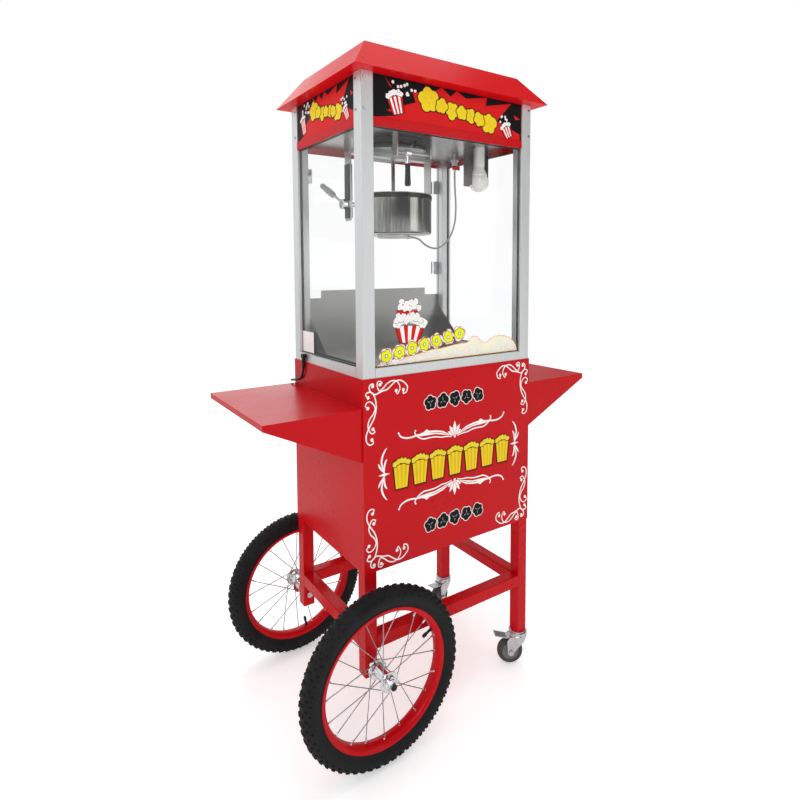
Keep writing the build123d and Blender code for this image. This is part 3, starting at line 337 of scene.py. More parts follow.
class Shape:
    """The points and faces of one piece, in millimetres."""

    def __init__(self):
        self.points = []
        self.faces = []

    def loft(self, rows, closed=False):
        """Skins rings of points and caps the ends; closed joins the last ring to the first."""
        start, size = len(self.points), len(rows[0])
        for row in rows:
            self.points.extend(Vector(point) for point in row)
        last = len(rows) if closed else len(rows) - 1
        for r in range(last):
            near, far = start + r * size, start + (r + 1) % len(rows) * size
            for k in range(size):
                nxt = (k + 1) % size
                self.faces.append((near + k, near + nxt, far + nxt, far + k))
        if not closed:
            self.faces.append(tuple(start + k for k in reversed(range(size))))
            self.faces.append(tuple(start + (len(rows) - 1) * size + k for k in range(size)))
        return self

    def lathe(self, centre, axis, profile, steps):
        """Turns a profile of (radius, height) round an axis; a profile that closes on itself makes a ring."""
        axis = Vector(axis).normalized()
        side = axis.orthogonal().normalized()
        other = axis.cross(side)
        ring = profile[0] == profile[-1]
        rows = []
        for radius, height in profile[:-1] if ring else profile:
            turns = (tau * k / steps for k in range(steps))
            base = Vector(centre) + axis * height
            radius = max(radius, 0.02)
            rows.append([base + (side * cos(t) + other * sin(t)) * radius for t in turns])
        return self.loft(rows, closed=ring)

    def tube(self, path, radii, sides):
        """A round bar along a path with a radius at each point."""
        rows = []
        for radius, (spot, across, up) in zip(radii, frames(path)):
            turns = (tau * j / sides for j in range(sides))
            rows.append([spot + (across * cos(t) + up * sin(t)) * radius for t in turns])
        return self.loft(rows)

    def block(self, low, high, ease):
        """A box with chamfered edges between two corners."""
        (x0, y0, z0), (x1, y1, z1) = low, high
        e = min(ease, (x1 - x0) / 3, (y1 - y0) / 3, (z1 - z0) / 3)
        rows = []
        for z, inset in ((z0, e), (z0 + e, 0), (z1 - e, 0), (z1, e)):
            a, b, c, d = x0 + inset, x1 - inset, y0 + inset, y1 - inset
            rows.append([(a + e, c, z), (b - e, c, z), (b, c + e, z), (b, d - e, z),
                         (b - e, d, z), (a + e, d, z), (a, d - e, z), (a, c + e, z)])
        return self.loft(rows)


def make(name, shape, material, body, slot, replaces=(), sharp=35):
    """Turns a shape into a piece that rides on a CAD body."""
    data = bpy.data.meshes.new(name)
    data.from_pydata([point * MM for point in shape.points], [], shape.faces)
    data.validate()
    solid = bmesh.new()
    solid.from_mesh(data)
    bmesh.ops.recalc_face_normals(solid, faces=solid.faces)
    solid.to_mesh(data)
    solid.free()
    data.shade_smooth()
    data.set_sharp_from_angle(angle=radians(sharp))
    data.materials.append(material)
    new = placed(name, data)
    if body:
        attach(new, body)
    if replaces:
        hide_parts(*replaces)
    return new


def mirror_ring(half):
    """A closed profile of (radius, height) from one half of it, mirrored at height 0."""
    return half + [(radius, -height) for radius, height in reversed(half) if height] + [half[0]]


def spun(name, centre, axis, profile, steps, *look):
    """A piece that is turned round one axis."""
    return make(name, Shape().lathe(centre, axis, profile, steps), *look)


# the material, body and slot of black pieces that stay still
BLACK = (black_plastic, "root", "black_plastic")


# ---- floor: it is darker in reflections than it looks ----
FLOOR = 30000
FLOOR_GLOW = 0.34
floor_paint = finish("floor_paint", (0.88, 0.88, 0.88), 0.7, grain=60.0, depth=0.00002, cloud=1.2, vary=0.01,
                     Specular_IOR_Level=0.0, Emission_Color=(1.0, 1.0, 1.0, 1.0))
floor_tree = floor_paint.node_tree
floor_ray = add(floor_tree, "ShaderNodeLightPath").outputs["Is Glossy Ray"]
glow = add(floor_tree, "ShaderNodeMapRange", {"Value": floor_ray, "To Min": FLOOR_GLOW, "To Max": 0.0})
feed(floor_tree, floor_tree.nodes["Principled BSDF"].inputs["Emission Strength"], glow.outputs["Result"])
floor_shape = Shape().loft([[(-FLOOR, -FLOOR, z), (FLOOR, -FLOOR, z), (FLOOR, FLOOR, z), (-FLOOR, FLOOR, z)]
                            for z in (-2, 0)])
floor = placed("floor", bpy.data.meshes.new("floor"))
floor.data.from_pydata([point * MM for point in floor_shape.points], [], floor_shape.faces)
floor.data.materials.append(floor_paint)


# ---- spoked wheels: knobbly tyre, rolled rim, nipples, valve and axle cap ----
BLOCK_OUTLINE = ((-1, -0.8), (-0.8, -1), (0.8, -1), (1, -0.8), (1, 0.8), (0.8, 1), (-0.8, 1), (-1, 0.8))


def tyre_shape(centre, radius):
    """Carcass with ribbed sidewalls, and rows of tread blocks that lean round its crown."""
    half, bead, crown = 14.6, radius - 50, 21.4
    outline = [(bead, half), (bead + 6, half + 0.6), (bead + 7, half + 1.2), (bead + 8, half + 0.9)]
    for k in range(17):
        turn = radians(-42 + k * 132 / 16)
        outline.append((radius - 24 + 20.6 * sin(turn), crown * cos(turn) + 0.9))
    outline.append((radius - 3.2, 0))
    shape = Shape().lathe(centre, (0, 1, 0), mirror_ring(outline), 120)
    blocks = 58
    # each row: its share of a step, how far from the middle, and half the width and the length of a block
    rows = ((0.0, 4.5, 4.2, 5.6), (0.5, 13.0, 3.4, 5.0), (0.0, 19.2, 2.6, 6.4))
    for k in range(blocks):
        for share, offset, wide, long in rows:
            turn = tau * (k + share) / blocks
            for side in (-1, 1):
                tilt = asin(side * offset / crown)
                hub_side = Vector((cos(turn), 0, sin(turn)))
                out = hub_side * cos(tilt) + Vector((0, sin(tilt), 0))
                root = centre + hub_side * (radius - 24 + 19.6 * cos(tilt))
                root += Vector((0, 21.0 * sin(tilt) + side * 0.6, 0))
                along = Vector((-sin(turn), 0, cos(turn)))
                across = out.cross(along).normalized()
                slew = side * (0.25 if offset > 10 else -0.35)
                along, across = (along * cos(slew) + across * sin(slew),
                                 across * cos(slew) - along * sin(slew))
                ring = []
                room_left = radius - 0.1 - (root - centre).dot(hub_side)
                for lift, shrink in ((0, 1.12), (2.6, 1.0), (3.3, 0.86)):
                    reach = min(lift, room_left) if offset < 6 else lift
                    ring.append([root + out * reach + (along * a * long / 2 + across * b * wide) * shrink
                                 for a, b in BLOCK_OUTLINE])
                shape.loft(ring)
    return shape


SPOKES = 20


def wheel(end, body):
    centre = middle(f"{end}_tyre")
    low, high = span(f"{end}_tyre")
    radius = (high.z - low.z) / 2
    side = -1 if centre.y < 0 else 1
    make(f"{end}_tyre_tread", tyre_shape(centre, radius), tyre_rubber, body, "tyre_rubber", [f"{end}_tyre"])
    lip = radius - 44
    half_rim = [(lip - inset, y) for inset, y in (
        (13.4, 0), (12.2, 8), (9.5, 13.5), (4, 16.6), (0.9, 17.0), (0, 16.4), (0.4, 15.4), (2, 14.9),
        (6.4, 14.9), (8, 8), (9.6, 0))]
    spun(f"{end}_wheel_rim", centre, (0, 1, 0), mirror_ring(half_rim), 144, red_paint, body, "red_paint",
         [f"{end}_rim"])
    nipples = Shape()
    for number in range(SPOKES):
        turn = tau * number / SPOKES
        out = Vector((cos(turn), 0, sin(turn)))
        flange = -1 if number % 2 else 1
        root = centre + out * (lip - 12.6) + Vector((0, flange * 3, 0))
        nipples.lathe(root, -out, [(2.6, -1.5), (2.6, 0.6), (1.9, 1.4), (1.9, 8.5), (1.3, 9.6)], 12)
    make(f"{end}_spoke_nipples", nipples, chrome, body, "bright_plate")
    turn = radians(24 if side < 0 else -80)
    out = Vector((cos(turn), 0, sin(turn)))
    stem = [(4.6, -1), (4.6, 1.5), (3.3, 3), (3.0, 15), (4.0, 16), (4.0, 17), (3.9, 25), (3.2, 27),
            (0.5, 27.5)]
    spun(f"{end}_valve", centre + out * (lip - 12.8), -out, stem, 20, black_plastic, body, "tyre_rubber")
    collars = Shape()
    for flange in (-1, 1):
        spot = centre + Vector((0, flange * 30.5, 0))
        collars.lathe(spot, (0, flange, 0), [(13.4, -1), (14.6, 0), (14.6, 2.2), (13.4, 3), (10.6, 3.2),
                                             (10.6, 1), (13.4, -1)], 48)
    make(f"{end}_bearing_caps", collars, chrome, body, "bright_plate")
    axle_end = span("axle_stubs")[1].y * side
    spun(f"{end}_axle_cap", (centre.x, axle_end - side * 1.6, centre.z), (0, side, 0),
         [(7.2, 0), (7.4, 1), (6.4, 2.2), (2, 2.6)], 32, *BLACK)


wheel("front", "front_wheel")
wheel("rear", "rear_wheel")


# ---- casters: a soft tread on a hard core, with a ball race above the fork ----
def caster(end):
    centre, axis = pivot(f"{end}_caster_roll"), joints[f"{end}_caster_roll"]["axis"]
    tread = mirror_ring([(24.0, -10.8), (26, -11.6), (31.4, -11), (34.2, -7.4), (35.6, -3.2), (36, 0)])
    spun(f"{end}_caster_tread", centre, axis, tread, 72, caster_rubber, f"{end}_caster_wheel",
         "caster_rubber", [f"{end}_caster_wheel"])
    core = mirror_ring([(4.1, -12), (9.6, -12), (11.0, -11), (12.2, -8.2), (22, -8.0), (23.9, -9.4),
                        (24.2, -9.6)])
    spun(f"{end}_caster_core", centre, axis, core, 56, caster_core, f"{end}_caster_wheel", "caster_rubber")
    post = pivot(f"{end}_caster_swivel")
    race = [(19, 79.5), (23.4, 79.8), (25.2, 81), (25.4, 84), (24.0, 86.3), (19, 86.4), (19, 79.5)]
    spun(f"{end}_ball_race", (*post.xy, 0), UP, race, 64, zinc, f"{end}_caster", "zinc_steel")


caster("front")
caster("rear")


# ---- cabinet: seals round the panes ----
def pane_seal(name, low, high, axis):
    """A thin seal round a pane's edge, on both of its faces."""
    shape = Shape()
    across = 1 - axis
    left, right = low[across] + 6, high[across] - 6
    foot, head = low.z + 6, HEADER_LOW
    strips = (((left, foot), (right, foot + 1.8)), ((left, head - 1.8), (right, head)),
              ((left, foot), (left + 1.6, head)), ((right - 1.6, foot), (right, head)))
    for at in (low[axis] - 1.0, high[axis]):
        for (u0, v0), (u1, v1) in strips:
            start, end = Vector((u0, u0, v0)), Vector((u1, u1, v1))
            start[axis], end[axis] = at, at + 1.0
            shape.block(start, end, 0.3)
    make(name, shape, seal_grey, "root", "black_plastic")


HEADER_LOW = span("header_panels")[0].z
front_low, front_high = span("front_glass")
pane_seal("front_glass_seal", front_low, front_high, 1)
side_low, side_high = span("side_glass")
PANE = front_high.y - front_low.y
pane_seal("left_glass_seal", side_low, Vector((side_low.x + PANE, side_high.y, side_high.z)), 0)
pane_seal("right_glass_seal", Vector((side_high.x - PANE, side_low.y, side_low.z)), side_high, 0)


# ---- kettle: spun pot with a dark rolled band, trunnion plates and a heater cover ----
pot_low, pot_high = span("kettle_pot")
KETTLE = pivot("kettle_tilt")
POT_R = (pot_high.y - pot_low.y) / 2
POT_TOP = pot_high.z
POT_LOW = POT_TOP - 103
KETTLE_FOOT = (*KETTLE.xy, 0)
wall = [(0.5, POT_LOW), (POT_R - 9, POT_LOW), (POT_R - 5, POT_LOW + 0.8), (POT_R - 2.6, POT_LOW + 3),
        (POT_R - 2, POT_LOW + 6), (POT_R - 2, POT_TOP - 12), (POT_R - 4, POT_TOP - 12),
        (POT_R - 4, POT_LOW + 6), (POT_R - 7, POT_LOW + 3), (0.5, POT_LOW + 2)]
spun("kettle_wall", KETTLE_FOOT, UP, wall, 128, kettle_steel, "kettle", "stainless", ["kettle_pot"])
band = [(POT_R - inset, POT_TOP - drop) for inset, drop in (
    (4, 12), (1, 11.6), (0, 10.4), (0, 1.2), (0.8, 0.2), (3.6, 0.2), (4, 12))]
spun("kettle_band", KETTLE_FOOT, UP, band, 128, dark_band, "kettle", "stainless")
cover = [(radius, POT_LOW + rise) for radius, rise in (
    (0.5, -9), (40, -9), (42.6, -8.2), (43.8, -6), (44, -0.2), (46, -0.1), (46, 0.4), (0.5, 0.4))]
spun("heater_cover", KETTLE_FOOT, UP, cover, 72, stainless, "kettle", "stainless")
pot_fittings = Shape()
for end_x, toward in ((pot_low.x, 1), (pot_high.x, -1)):
    face = KETTLE.x - toward * (POT_R - 2)
    pot_fittings.tube([Vector((end_x, KETTLE.y, KETTLE.z)), Vector((face + toward * 2, KETTLE.y, KETTLE.z))],
                      [6, 6], 24)
    pot_fittings.lathe((face, KETTLE.y, KETTLE.z), (-toward, 0, 0),
                       [(17, -5), (17, 0.5), (15.6, 2), (9.5, 2.4), (9, 5), (8, 6), (6.1, 6)], 40)
    for turn in (45, 135, 225, 315):
        a = radians(turn)
        spot = (face - toward * 1.4, KETTLE.y + 12.6 * cos(a), KETTLE.z + 12.6 * sin(a))
        pot_fittings.lathe(spot, (-toward, 0, 0), [(2.3, 0), (2.2, 0.8), (1.4, 1.6), (0.3, 1.9)], 12)
make("kettle_trunnions", pot_fittings, chrome, "kettle", "stainless")
gland = [(4, 0), (5.4, 0.4), (5.4, 4), (4.4, 4.6), (4.2, 9), (3.8, 10), (3.8, 12.6), (2.6, 13)]
spun("kettle_cable_gland", (KETTLE.x + 43, KETTLE.y, POT_LOW - 5), (1, 0, 0), gland, 24, chrome, "kettle",
     "stainless")

# ---- dump handle: a bent steel rod and a ribbed grey grip ----
ALONG = Vector((0, 2, 1)).normalized()
start = Vector((middle("dump_handle").x, KETTLE.y, KETTLE.z))
rod = Shape().tube([start + ALONG * s for s in (0, 20, 64)], [4, 4, 4], 20)
rod.lathe(start, (1, 0, 0), [(6.2, -7), (11.6, -7), (13, -5.6), (13, 5.6), (11.6, 7), (6.2, 7)], 40)
make("dump_handle_rod", rod, chrome, "kettle", "stainless", ["dump_handle"])
grip = [(4.2, 58), (6.0, 58.4), (6.6, 60), (6.8, 62)]
for k in range(9):
    s = 64 + k * 7.4
    fat = 6.9 + 1.5 * sin(pi * min(1, (k + 1.5) / 9))
    grip += [(fat, s), (fat + 0.3, s + 1.5), (fat + 0.3, s + 5.2), (fat - 0.2, s + 6.2), (fat - 0.2, s + 6.8)]
grip += [(7.6, 131.5), (7.2, 134.6), (5.4, 137.4), (2.4, 138.6)]
spun("dump_handle_grip", start, ALONG, grip, 36, grey_grip, "kettle", "grey_grip")

# ---- release lever: collar, shank and a tapered black grip ----
lever = pivot("release_lever_hinge")
collar = [(4.1, -8), (7.4, -8), (8.4, -7), (8.4, 7), (7.4, 8), (4.1, 8)]
shank = Shape().lathe(lever, (1, 0, 0), collar, 36)
shank.lathe(lever, (0, 0, -1), [(4.2, 5), (4.2, 20.5), (6.8, 21), (6.8, 25.4), (4.2, 26)], 28)
make("lever_shank", shank, chrome, "release_lever", "bright_plate", ["release_lever"])
knob = [(4.6, 25.5), (6.6, 26), (7.0, 28), (6.4, 34), (6.6, 52), (7.6, 70), (7.8, 75), (6.6, 79), (3.0, 80)]
spun("lever_grip", lever, (0, 0, -1), knob, 36, black_plastic, "release_lever", "black_plastic")

# ---- black sleeve on the left hanger, above and below the pivot ----
hanger_x = span("kettle_hangers")[0].x - 0.7
sleeve = Shape()
for low_z, high_z in ((-36, -8), (8, 102)):
    sleeve.block((hanger_x, KETTLE.y - 12.6, KETTLE.z + low_z),
                 (hanger_x + 10.5, KETTLE.y + 12.6, KETTLE.z + high_z), 1.2)
make("hanger_sleeve", sleeve, *BLACK)

# ---- lamp: frosted bulb with a threaded cap in its ceramic holder ----
LAMP_FOOT = (*middle("lamp_bulb").xy, 0)
BULB_LOW = span("lamp_bulb")[0].z
glass = [(0.4, BULB_LOW)]
for k in range(1, 15):
    turn = radians(-90 + k * 9.2)
    glass.append((27 * cos(turn), BULB_LOW + 27.5 + 27.5 * sin(turn)))
glass += [(radius, BULB_LOW + rise)
          for radius, rise in ((22.6, 46), (18.6, 55), (15.6, 62), (14.2, 68), (13.4, 74))]
spun("lamp_bulb_glass", LAMP_FOOT, UP, glass, 72, frosted, "root", "bulb_glass", ["lamp_bulb"])
thread = [(12.6, 70), (13.0, 72)]
for k in range(5):
    thread += [(12.2, 73 + k * 3.2), (12.9, 74.6 + k * 3.2)]
thread = [(radius, BULB_LOW + rise) for radius, rise in thread + [(12.2, 89.4), (4, 90)]]
spun("lamp_cap", LAMP_FOOT, UP, thread, 40, brass, "root", "bright_plate")


# ---- free cords ----
def spline_curve(name, points, radius=0.0):
    """One smooth NURBS spline through its control points' frame, as a curve object."""
    data = bpy.data.curves.new(name, "CURVE")
    data.dimensions = "3D"
    line = data.splines.new("NURBS")
    line.points.add(len(points) - 1)
    for spot, point in zip(line.points, points):
        spot.co = (*point, 1)
    line.order_u = 3
    line.use_endpoint_u = True
    line.resolution_u = 12
    data.resolution_u = 12
    data.bevel_depth = radius
    data.bevel_resolution = 5
    data.use_fill_caps = True
    return placed(name, data)


def followed(points):
    """Points along the smooth line of a route, in metres."""
    guide = spline_curve("guide", points)
    bpy.context.view_layer.update()
    mesh = bpy.data.meshes.new_from_object(guide.evaluated_get(bpy.context.evaluated_depsgraph_get()))
    line = [vertex.co.copy() for vertex in mesh.vertices]
    bpy.data.objects.remove(guide)
    return line


KETTLE_CORD = [
    (0.184, 0.040, 1.404), (0.184, 0.040, 1.352), (0.190, 0.040, 1.292), (0.186, 0.040, 1.235),
    (0.160, 0.040, 1.186), (0.118, 0.040, 1.162), (0.076, 0.040, 1.174), (0.054, 0.040, 1.195),
    (0.0263, 0.040, 1.195),
]
braid_line = followed(KETTLE_CORD)


def braided(line, radius, strands, pitch):
    """A woven sleeve: the tube's skin rises where crossing strands pass over."""
    path = [point / MM for point in line]
    fine = []
    for a, b in zip(path, path[1:]):
        pieces = max(1, int((b - a).length / 0.8))
        fine += [a.lerp(b, k / pieces) for k in range(pieces)]
    fine.append(path[-1])
    rows, run, last, sides = [], 0.0, fine[0], strands * 3
    for spot, across, up in frames(fine):
        run += (spot - last).length
        last = spot
        row = []
        for j in range(sides):
            turn = tau * j / sides
            weave = cos(strands / 2 * turn + run * tau / pitch)
            weave *= cos(strands / 2 * turn - run * tau / pitch)
            out = across * cos(turn) + up * sin(turn)
            row.append(spot + out * radius * (0.97 + 0.05 * weave))
        rows.append(row)
    return Shape().loft(rows)


cable = make("kettle_braid", braided(braid_line, 2.55, 16, 6.0), braid, None, "braid", ["kettle_cable"],
             sharp=60)
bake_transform(cable)
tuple(KETTLE_CORD[0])
ferrule = [(2.6, -1), (5.2, -0.6), (5.6, 1), (5.6, 5), (4.6, 6.4), (3.6, 14), (3.2, 17), (2.5, 17.5)]
spun("kettle_cable_ferrule", Vector(KETTLE_CORD[0]) / MM, (0, 0, -1), ferrule, 28, chrome, "root",
     "stainless")

MAINS_CORD = [
    (-0.265, 0.118, 0.872), (-0.265, 0.118, 0.826), (-0.266, 0.168, 0.808), (-0.265, 0.218, 0.800),
    (-0.203, 0.223, 0.795), (-0.208, 0.162, 0.780), (-0.206, 0.152, 0.700), (-0.210, 0.150, 0.620),
    (-0.205, 0.147, 0.545), (-0.204, 0.143, 0.480), (-0.200, 0.139, 0.4212), (-0.146, 0.112, 0.4212),
    (-0.146, 0.060, 0.4212),
]
CORD_R = 0.003
COIL = Vector((-0.110, 0.060, 0.4182))
LAYERS = ((0.036, 0.003), (0.030, 0.003), (0.030, 0.009), (0.036, 0.0095), (0.0305, 0.015), (0.036, 0.0145))
TURN_POINTS = 16
coil_points = []
for step in range(3, int(TURN_POINTS * (len(LAYERS) + 0.5)) + 1):
    along = step / TURN_POINTS
    layer = min(int(along), len(LAYERS) - 1)
    nearer = LAYERS[min(layer + 1, len(LAYERS) - 1)]
    share = max(0.0, (along - layer - 0.75) / 0.25) if along < len(LAYERS) else 0.0
    radius = LAYERS[layer][0] + (nearer[0] - LAYERS[layer][0]) * share
    height = LAYERS[layer][1] + (nearer[1] - LAYERS[layer][1]) * share
    turn = pi + tau * along
    # a quadratic spline lies inside its control points, so they stand a little further out
    wide = radius * (1 + (1 - cos(pi / TURN_POINTS)))
    coil_points.append((COIL.x + wide * cos(turn), COIL.y + wide * sin(turn), COIL.z + height))
PLUG = middle("mains_plug")
coil_points.append((PLUG.x * MM, 0.074, PLUG.z * MM))
lead_route = MAINS_CORD[:-1] + [(-0.146, 0.075, 0.4212)] + coil_points
lead = spline_curve("mains_lead", lead_route, CORD_R)
lead.data.materials.append(cord_black)
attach(lead, "root")
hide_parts("mains_cord", "mains_coil")

lead_line = [point / MM for point in followed(MAINS_CORD)]
relief_path, run = [lead_line[0]], 0.0
for a, b in zip(lead_line, lead_line[1:]):
    run += (b - a).length
    if run > 30:
        break
    relief_path.append(b)
relief_end = len(relief_path) - 1
relief = Shape().tube(relief_path, [5.6 - 2.2 * k / relief_end for k in range(relief_end + 1)], 24)
make("lead_strain_relief", relief, *BLACK)
grommet = [(5.2, -3.2), (11.5, -3.2), (12, -2.6), (12, -1.6), (9, -1.4), (9, 0.2), (12, 0.4), (12, 1.8),
           (11.2, 2.6), (5.6, 2.6), (5.0, 1.6), (5.2, -3.2)]
spun("lead_grommet", (-206, 186, 784), (0, 1, 0), grommet, 40, *BLACK)
tie_at = COIL / MM + Vector((0, -33, 9))
tie = Shape()
tie_path = [(-6.8, -9.6), (6.8, -9.6), (7.8, -8.6), (7.8, 9.4), (6.8, 10.4), (-6.8, 10.4), (-7.8, 9.4),
            (-7.8, -8.6)]
rows = []
for thick, x in ((0, -2.2), (0, 2.2), (1.0, 2.2), (1.0, -2.2)):
    rows.append([tie_at + Vector((x, y - copysign(thick, y), z - copysign(thick, z)))
                 for y, z in tie_path])
tie.loft(rows, closed=True)
tie.block(tie_at + Vector((-3.4, -2.6, 9.2)), tie_at + Vector((3.4, 2.6, 13.4)), 0.6)
tie_piece = make("lead_tie", tie, *BLACK)

# each ring: place along the plug, half width, half height, and how square it is
PLUG_RINGS = ((72, 4.2, 4.2, 2), (74, 5.0, 5.0, 2), (96, 5.6, 5.6, 2), (99, 8, 7.4, 2.4), (103, 13, 10, 2.6),
              (108, 16, 12.2, 3.0), (114, 14.6, 11.2, 3.0), (126, 14.8, 11.4, 3.0), (132, 16.6, 12.7, 3.2),
              (136.5, 16.8, 12.8, 3.4), (137.6, 16.0, 12.0, 3.4))
plug_rows = []
for y, wide, high, power in PLUG_RINGS:
    row = []
    for k in range(40):
        turn = tau * k / 40
        c, s = cos(turn), sin(turn)
        row.append((PLUG.x + wide * copysign(abs(c) ** (2 / power), c), y,
                    PLUG.z + high * copysign(abs(s) ** (2 / power), s)))
    plug_rows.append(row)
plug_shape = Shape().loft(plug_rows)
for k in range(5):
    plug_shape.lathe((PLUG.x, 76 + k * 4.0, PLUG.z), (0, 1, 0),
                     [(5, -1.2), (5.9, -0.8), (5.9, 0.8), (5, 1.2)], 28)
plug = make("mains_plug_grip", plug_shape, *BLACK, ["mains_plug"])
pins = Shape()
for x in (-9.5, 9.5):
    pins.lathe((PLUG.x + x, 136, PLUG.z), (0, 1, 0), [(2.4, 0), (2.4, 19), (1.8, 20.6), (0.4, 21)], 20)
pin_piece = make("mains_plug_pins", pins, brass, "root", "bright_plate")
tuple(MAINS_CORD[0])


# ---- flat printed shapes ----
LAYER, LIFT, LIFTS = 0.12, 0.0045, 17


class Print:
    """Thin printed film on an upright face, at (u, v) from its origin, standing out along its normal."""

    def __init__(self, origin, right, backing=None):
        self.origin, self.right, self.up = Vector(origin), Vector(right), Vector(UP)
        self.out = self.right.cross(self.up)
        self.backing = backing
        self.shapes = {}
        self.drawn = 0

    def film(self, layer):
        """The lower and upper height of the next shape; no two neighbours are level."""
        self.drawn += 1
        low = 0.04 + LAYER * layer + LIFT * (self.drawn % LIFTS)
        return low, low + LAYER

    def at(self, spot, height):
        u, v = spot
        return self.origin + self.right * u + self.up * v + self.out * height

    def slab(self, colour, outline, low, high):
        rows = [[self.at(spot, height) for spot in outline] for height in (low, high)]
        self.shapes.setdefault(colour, Shape()).loft(rows)

    def put(self, colour, outline, layer=0):
        """A filled outline in one ink, on a numbered layer; on glass it has a backing seen from behind."""
        low, high = self.film(layer)
        self.slab(colour, outline, low, high)
        if self.backing and layer:
            self.slab(self.backing, outline, 0.006 + 0.002 * (self.drawn % LIFTS), 0.039)

    def stroke(self, colour, path, root, tip, swell=None, layer=0):
        """A line whose width goes from root to tip, by way of a swell where one is given."""
        low, high = self.film(layer)
        rows = []
        for k, (u, v) in enumerate(path):
            share = k / (len(path) - 1)
            width = root + (tip - root) * share
            if swell:
                width += (swell - width) * sin(pi * share)
            a, b = path[max(k - 1, 0)], path[min(k + 1, len(path) - 1)]
            du, dv = b[0] - a[0], b[1] - a[1]
            half = width / 2 / (hypot(du, dv) or 1.0)
            left, right = (u - dv * half, v + du * half), (u + dv * half, v - du * half)
            rows.append([self.at(left, low), self.at(right, low), self.at(right, high), self.at(left, high)])
        self.shapes.setdefault(colour, Shape()).loft(rows)

    def done(self, name, slot="red_paint"):
        for colour, shape in self.shapes.items():
            make(f"{name}_{colour}", shape, ink[colour], "root", slot, sharp=50)


def disc(u, v, radius):
    turns = [tau * k / 20 for k in range(20)]
    return [(u + radius * cos(turn), v + radius * sin(turn)) for turn in turns]


def smooth(points, per=7):
    """A line that passes smoothly through its points."""
    line = []
    for k in range(len(points) - 1):
        p0, p1, p2, p3 = (points[max(0, min(len(points) - 1, k + j))] for j in (-1, 0, 1, 2))
        for step in range(per):
            t = step / per
            line.append(tuple(0.5 * (2 * b + (c - a) * t + (2 * a - 5 * b + 4 * c - d) * t * t
                                     + (3 * b - a - 3 * c + d) * t ** 3)
                              for a, b, c, d in zip(p0, p1, p2, p3)))
    line.append(points[-1])
    return line


def turned(path, origin, angle, flip_v=1):
    """A path turned by some degrees and set at an origin, upside down where flip_v is -1."""
    c, s = cos(radians(angle)), sin(radians(angle))
    return [(origin[0] + u * c - v * s, origin[1] + flip_v * (u * s + v * c)) for u, v in path]


def flake(u, v, size, turn=0.0, lobes=5, grow=0.0):
    """The lobed outline of one popped kernel, grown outward by some width."""
    share = 0.50 if lobes < 6 else 0.42
    spots = [(turn + tau * k / lobes, share * size * (1 + 0.14 * sin(3 * k + turn)) + grow)
             for k in range(lobes)]
    away, outline = 0.56 * size, []
    for k in range(60):
        angle = tau * k / 60
        far = 0.35 * size
        for place, radius in spots:
            beside = away * sin(angle - place)
            if abs(beside) < radius:
                far = max(far, away * cos(angle - place) + sqrt(radius * radius - beside * beside))
        outline.append((u + far * cos(angle), v + far * sin(angle)))
    return outline


def popped(sheet, u, v, size, turn, fill, edge, edge_width, layer, crease="grey_ink"):
    """A popped kernel in one ink with an outline and short creases."""
    sheet.put(edge, flake(u, v, size, turn, grow=edge_width), layer)
    sheet.put(fill, flake(u, v, size, turn), layer + 1)
    for k in range(3):
        a = turn + 2.1 * k
        path = [(u + size * r * cos(a + b), v + size * r * sin(a + b))
                for r, b in ((0.15, 0), (0.35, 0.25), (0.55, 0.2))]
        sheet.stroke(crease, path, size * 0.1, size * 0.05, layer=layer + 2)


def tub(sheet, foot_u, foot_v, wide, tall, lean, layer, stripe_inks=("sign_red", "white_ink"),
        puff="white_ink", outline="black_ink", edge=1.6, foot_share=0.72):
    """A striped tub, narrower at its foot, leaning by some degrees, brimming over."""
    def place(path):
        return turned(path, (foot_u, foot_v), lean)

    top, foot = wide / 2, wide / 2 * foot_share
    brim = top + edge * 1.3
    sheet.put(outline, place([(-foot - edge, -edge), (foot + edge, -edge), (brim, tall + edge / 2),
                              (-brim, tall + edge / 2)]), layer)
    stripes = 7
    for k in range(stripes):
        a, b = -1 + 2 * k / stripes, -1 + 2 * (k + 1) / stripes
        stripe = place([(a * foot, 0), (b * foot, 0), (b * top, tall), (a * top, tall)])
        sheet.put(stripe_inks[k % 2], stripe, layer + 1)
    for k in range(5):
        share = k / 4 - 0.5
        u, v = place([(share * wide * 0.84, tall + wide * (0.06 + 0.15 * cos(share * 3)))])[0]
        popped(sheet, u, v, wide * 0.15, k * 1.3, puff, outline, edge * 0.7, layer + 2)


# ---- cart front: scrollwork, sprays and rows of plain ornaments ----
panel_low, panel_high = span("cart_front_panel")
front = Print((0, panel_low.y, 0), (1, 0, 0))
# strokes of one corner: how far in from the side edge and from the top or bottom edge, and the width
CORNER = (
    (((13, 41), (7, 35), (10, 30), (18, 29), (26, 34), (32, 48), (34, 63), (32, 78), (27, 92), (19, 104),
      (11, 117), (7, 129), (9, 142), (17, 149), (26, 146), (22, 138)), 3.2),
    (((12, 65), (6, 59), (10, 52), (18, 51), (27, 58), (31, 69), (25, 81), (17, 90), (12, 104), (16, 117),
      (22, 124), (30, 121), (25, 114)), 2.9),
    (((25, 17), (27, 12), (20, 12), (16, 19), (20, 29), (31, 36), (42, 33), (53, 30), (64, 28), (75, 20),
      (87, 12), (99, 11), (110, 17), (119, 27), (117, 39), (108, 43), (108, 34)), 3.2),
    (((44, 15), (50, 12), (43, 7), (37, 11), (38, 21), (43, 29), (53, 24), (62, 16), (75, 10), (89, 12),
      (97, 22), (98, 32), (91, 42), (88, 34)), 2.9),
)
BALL = 3.9
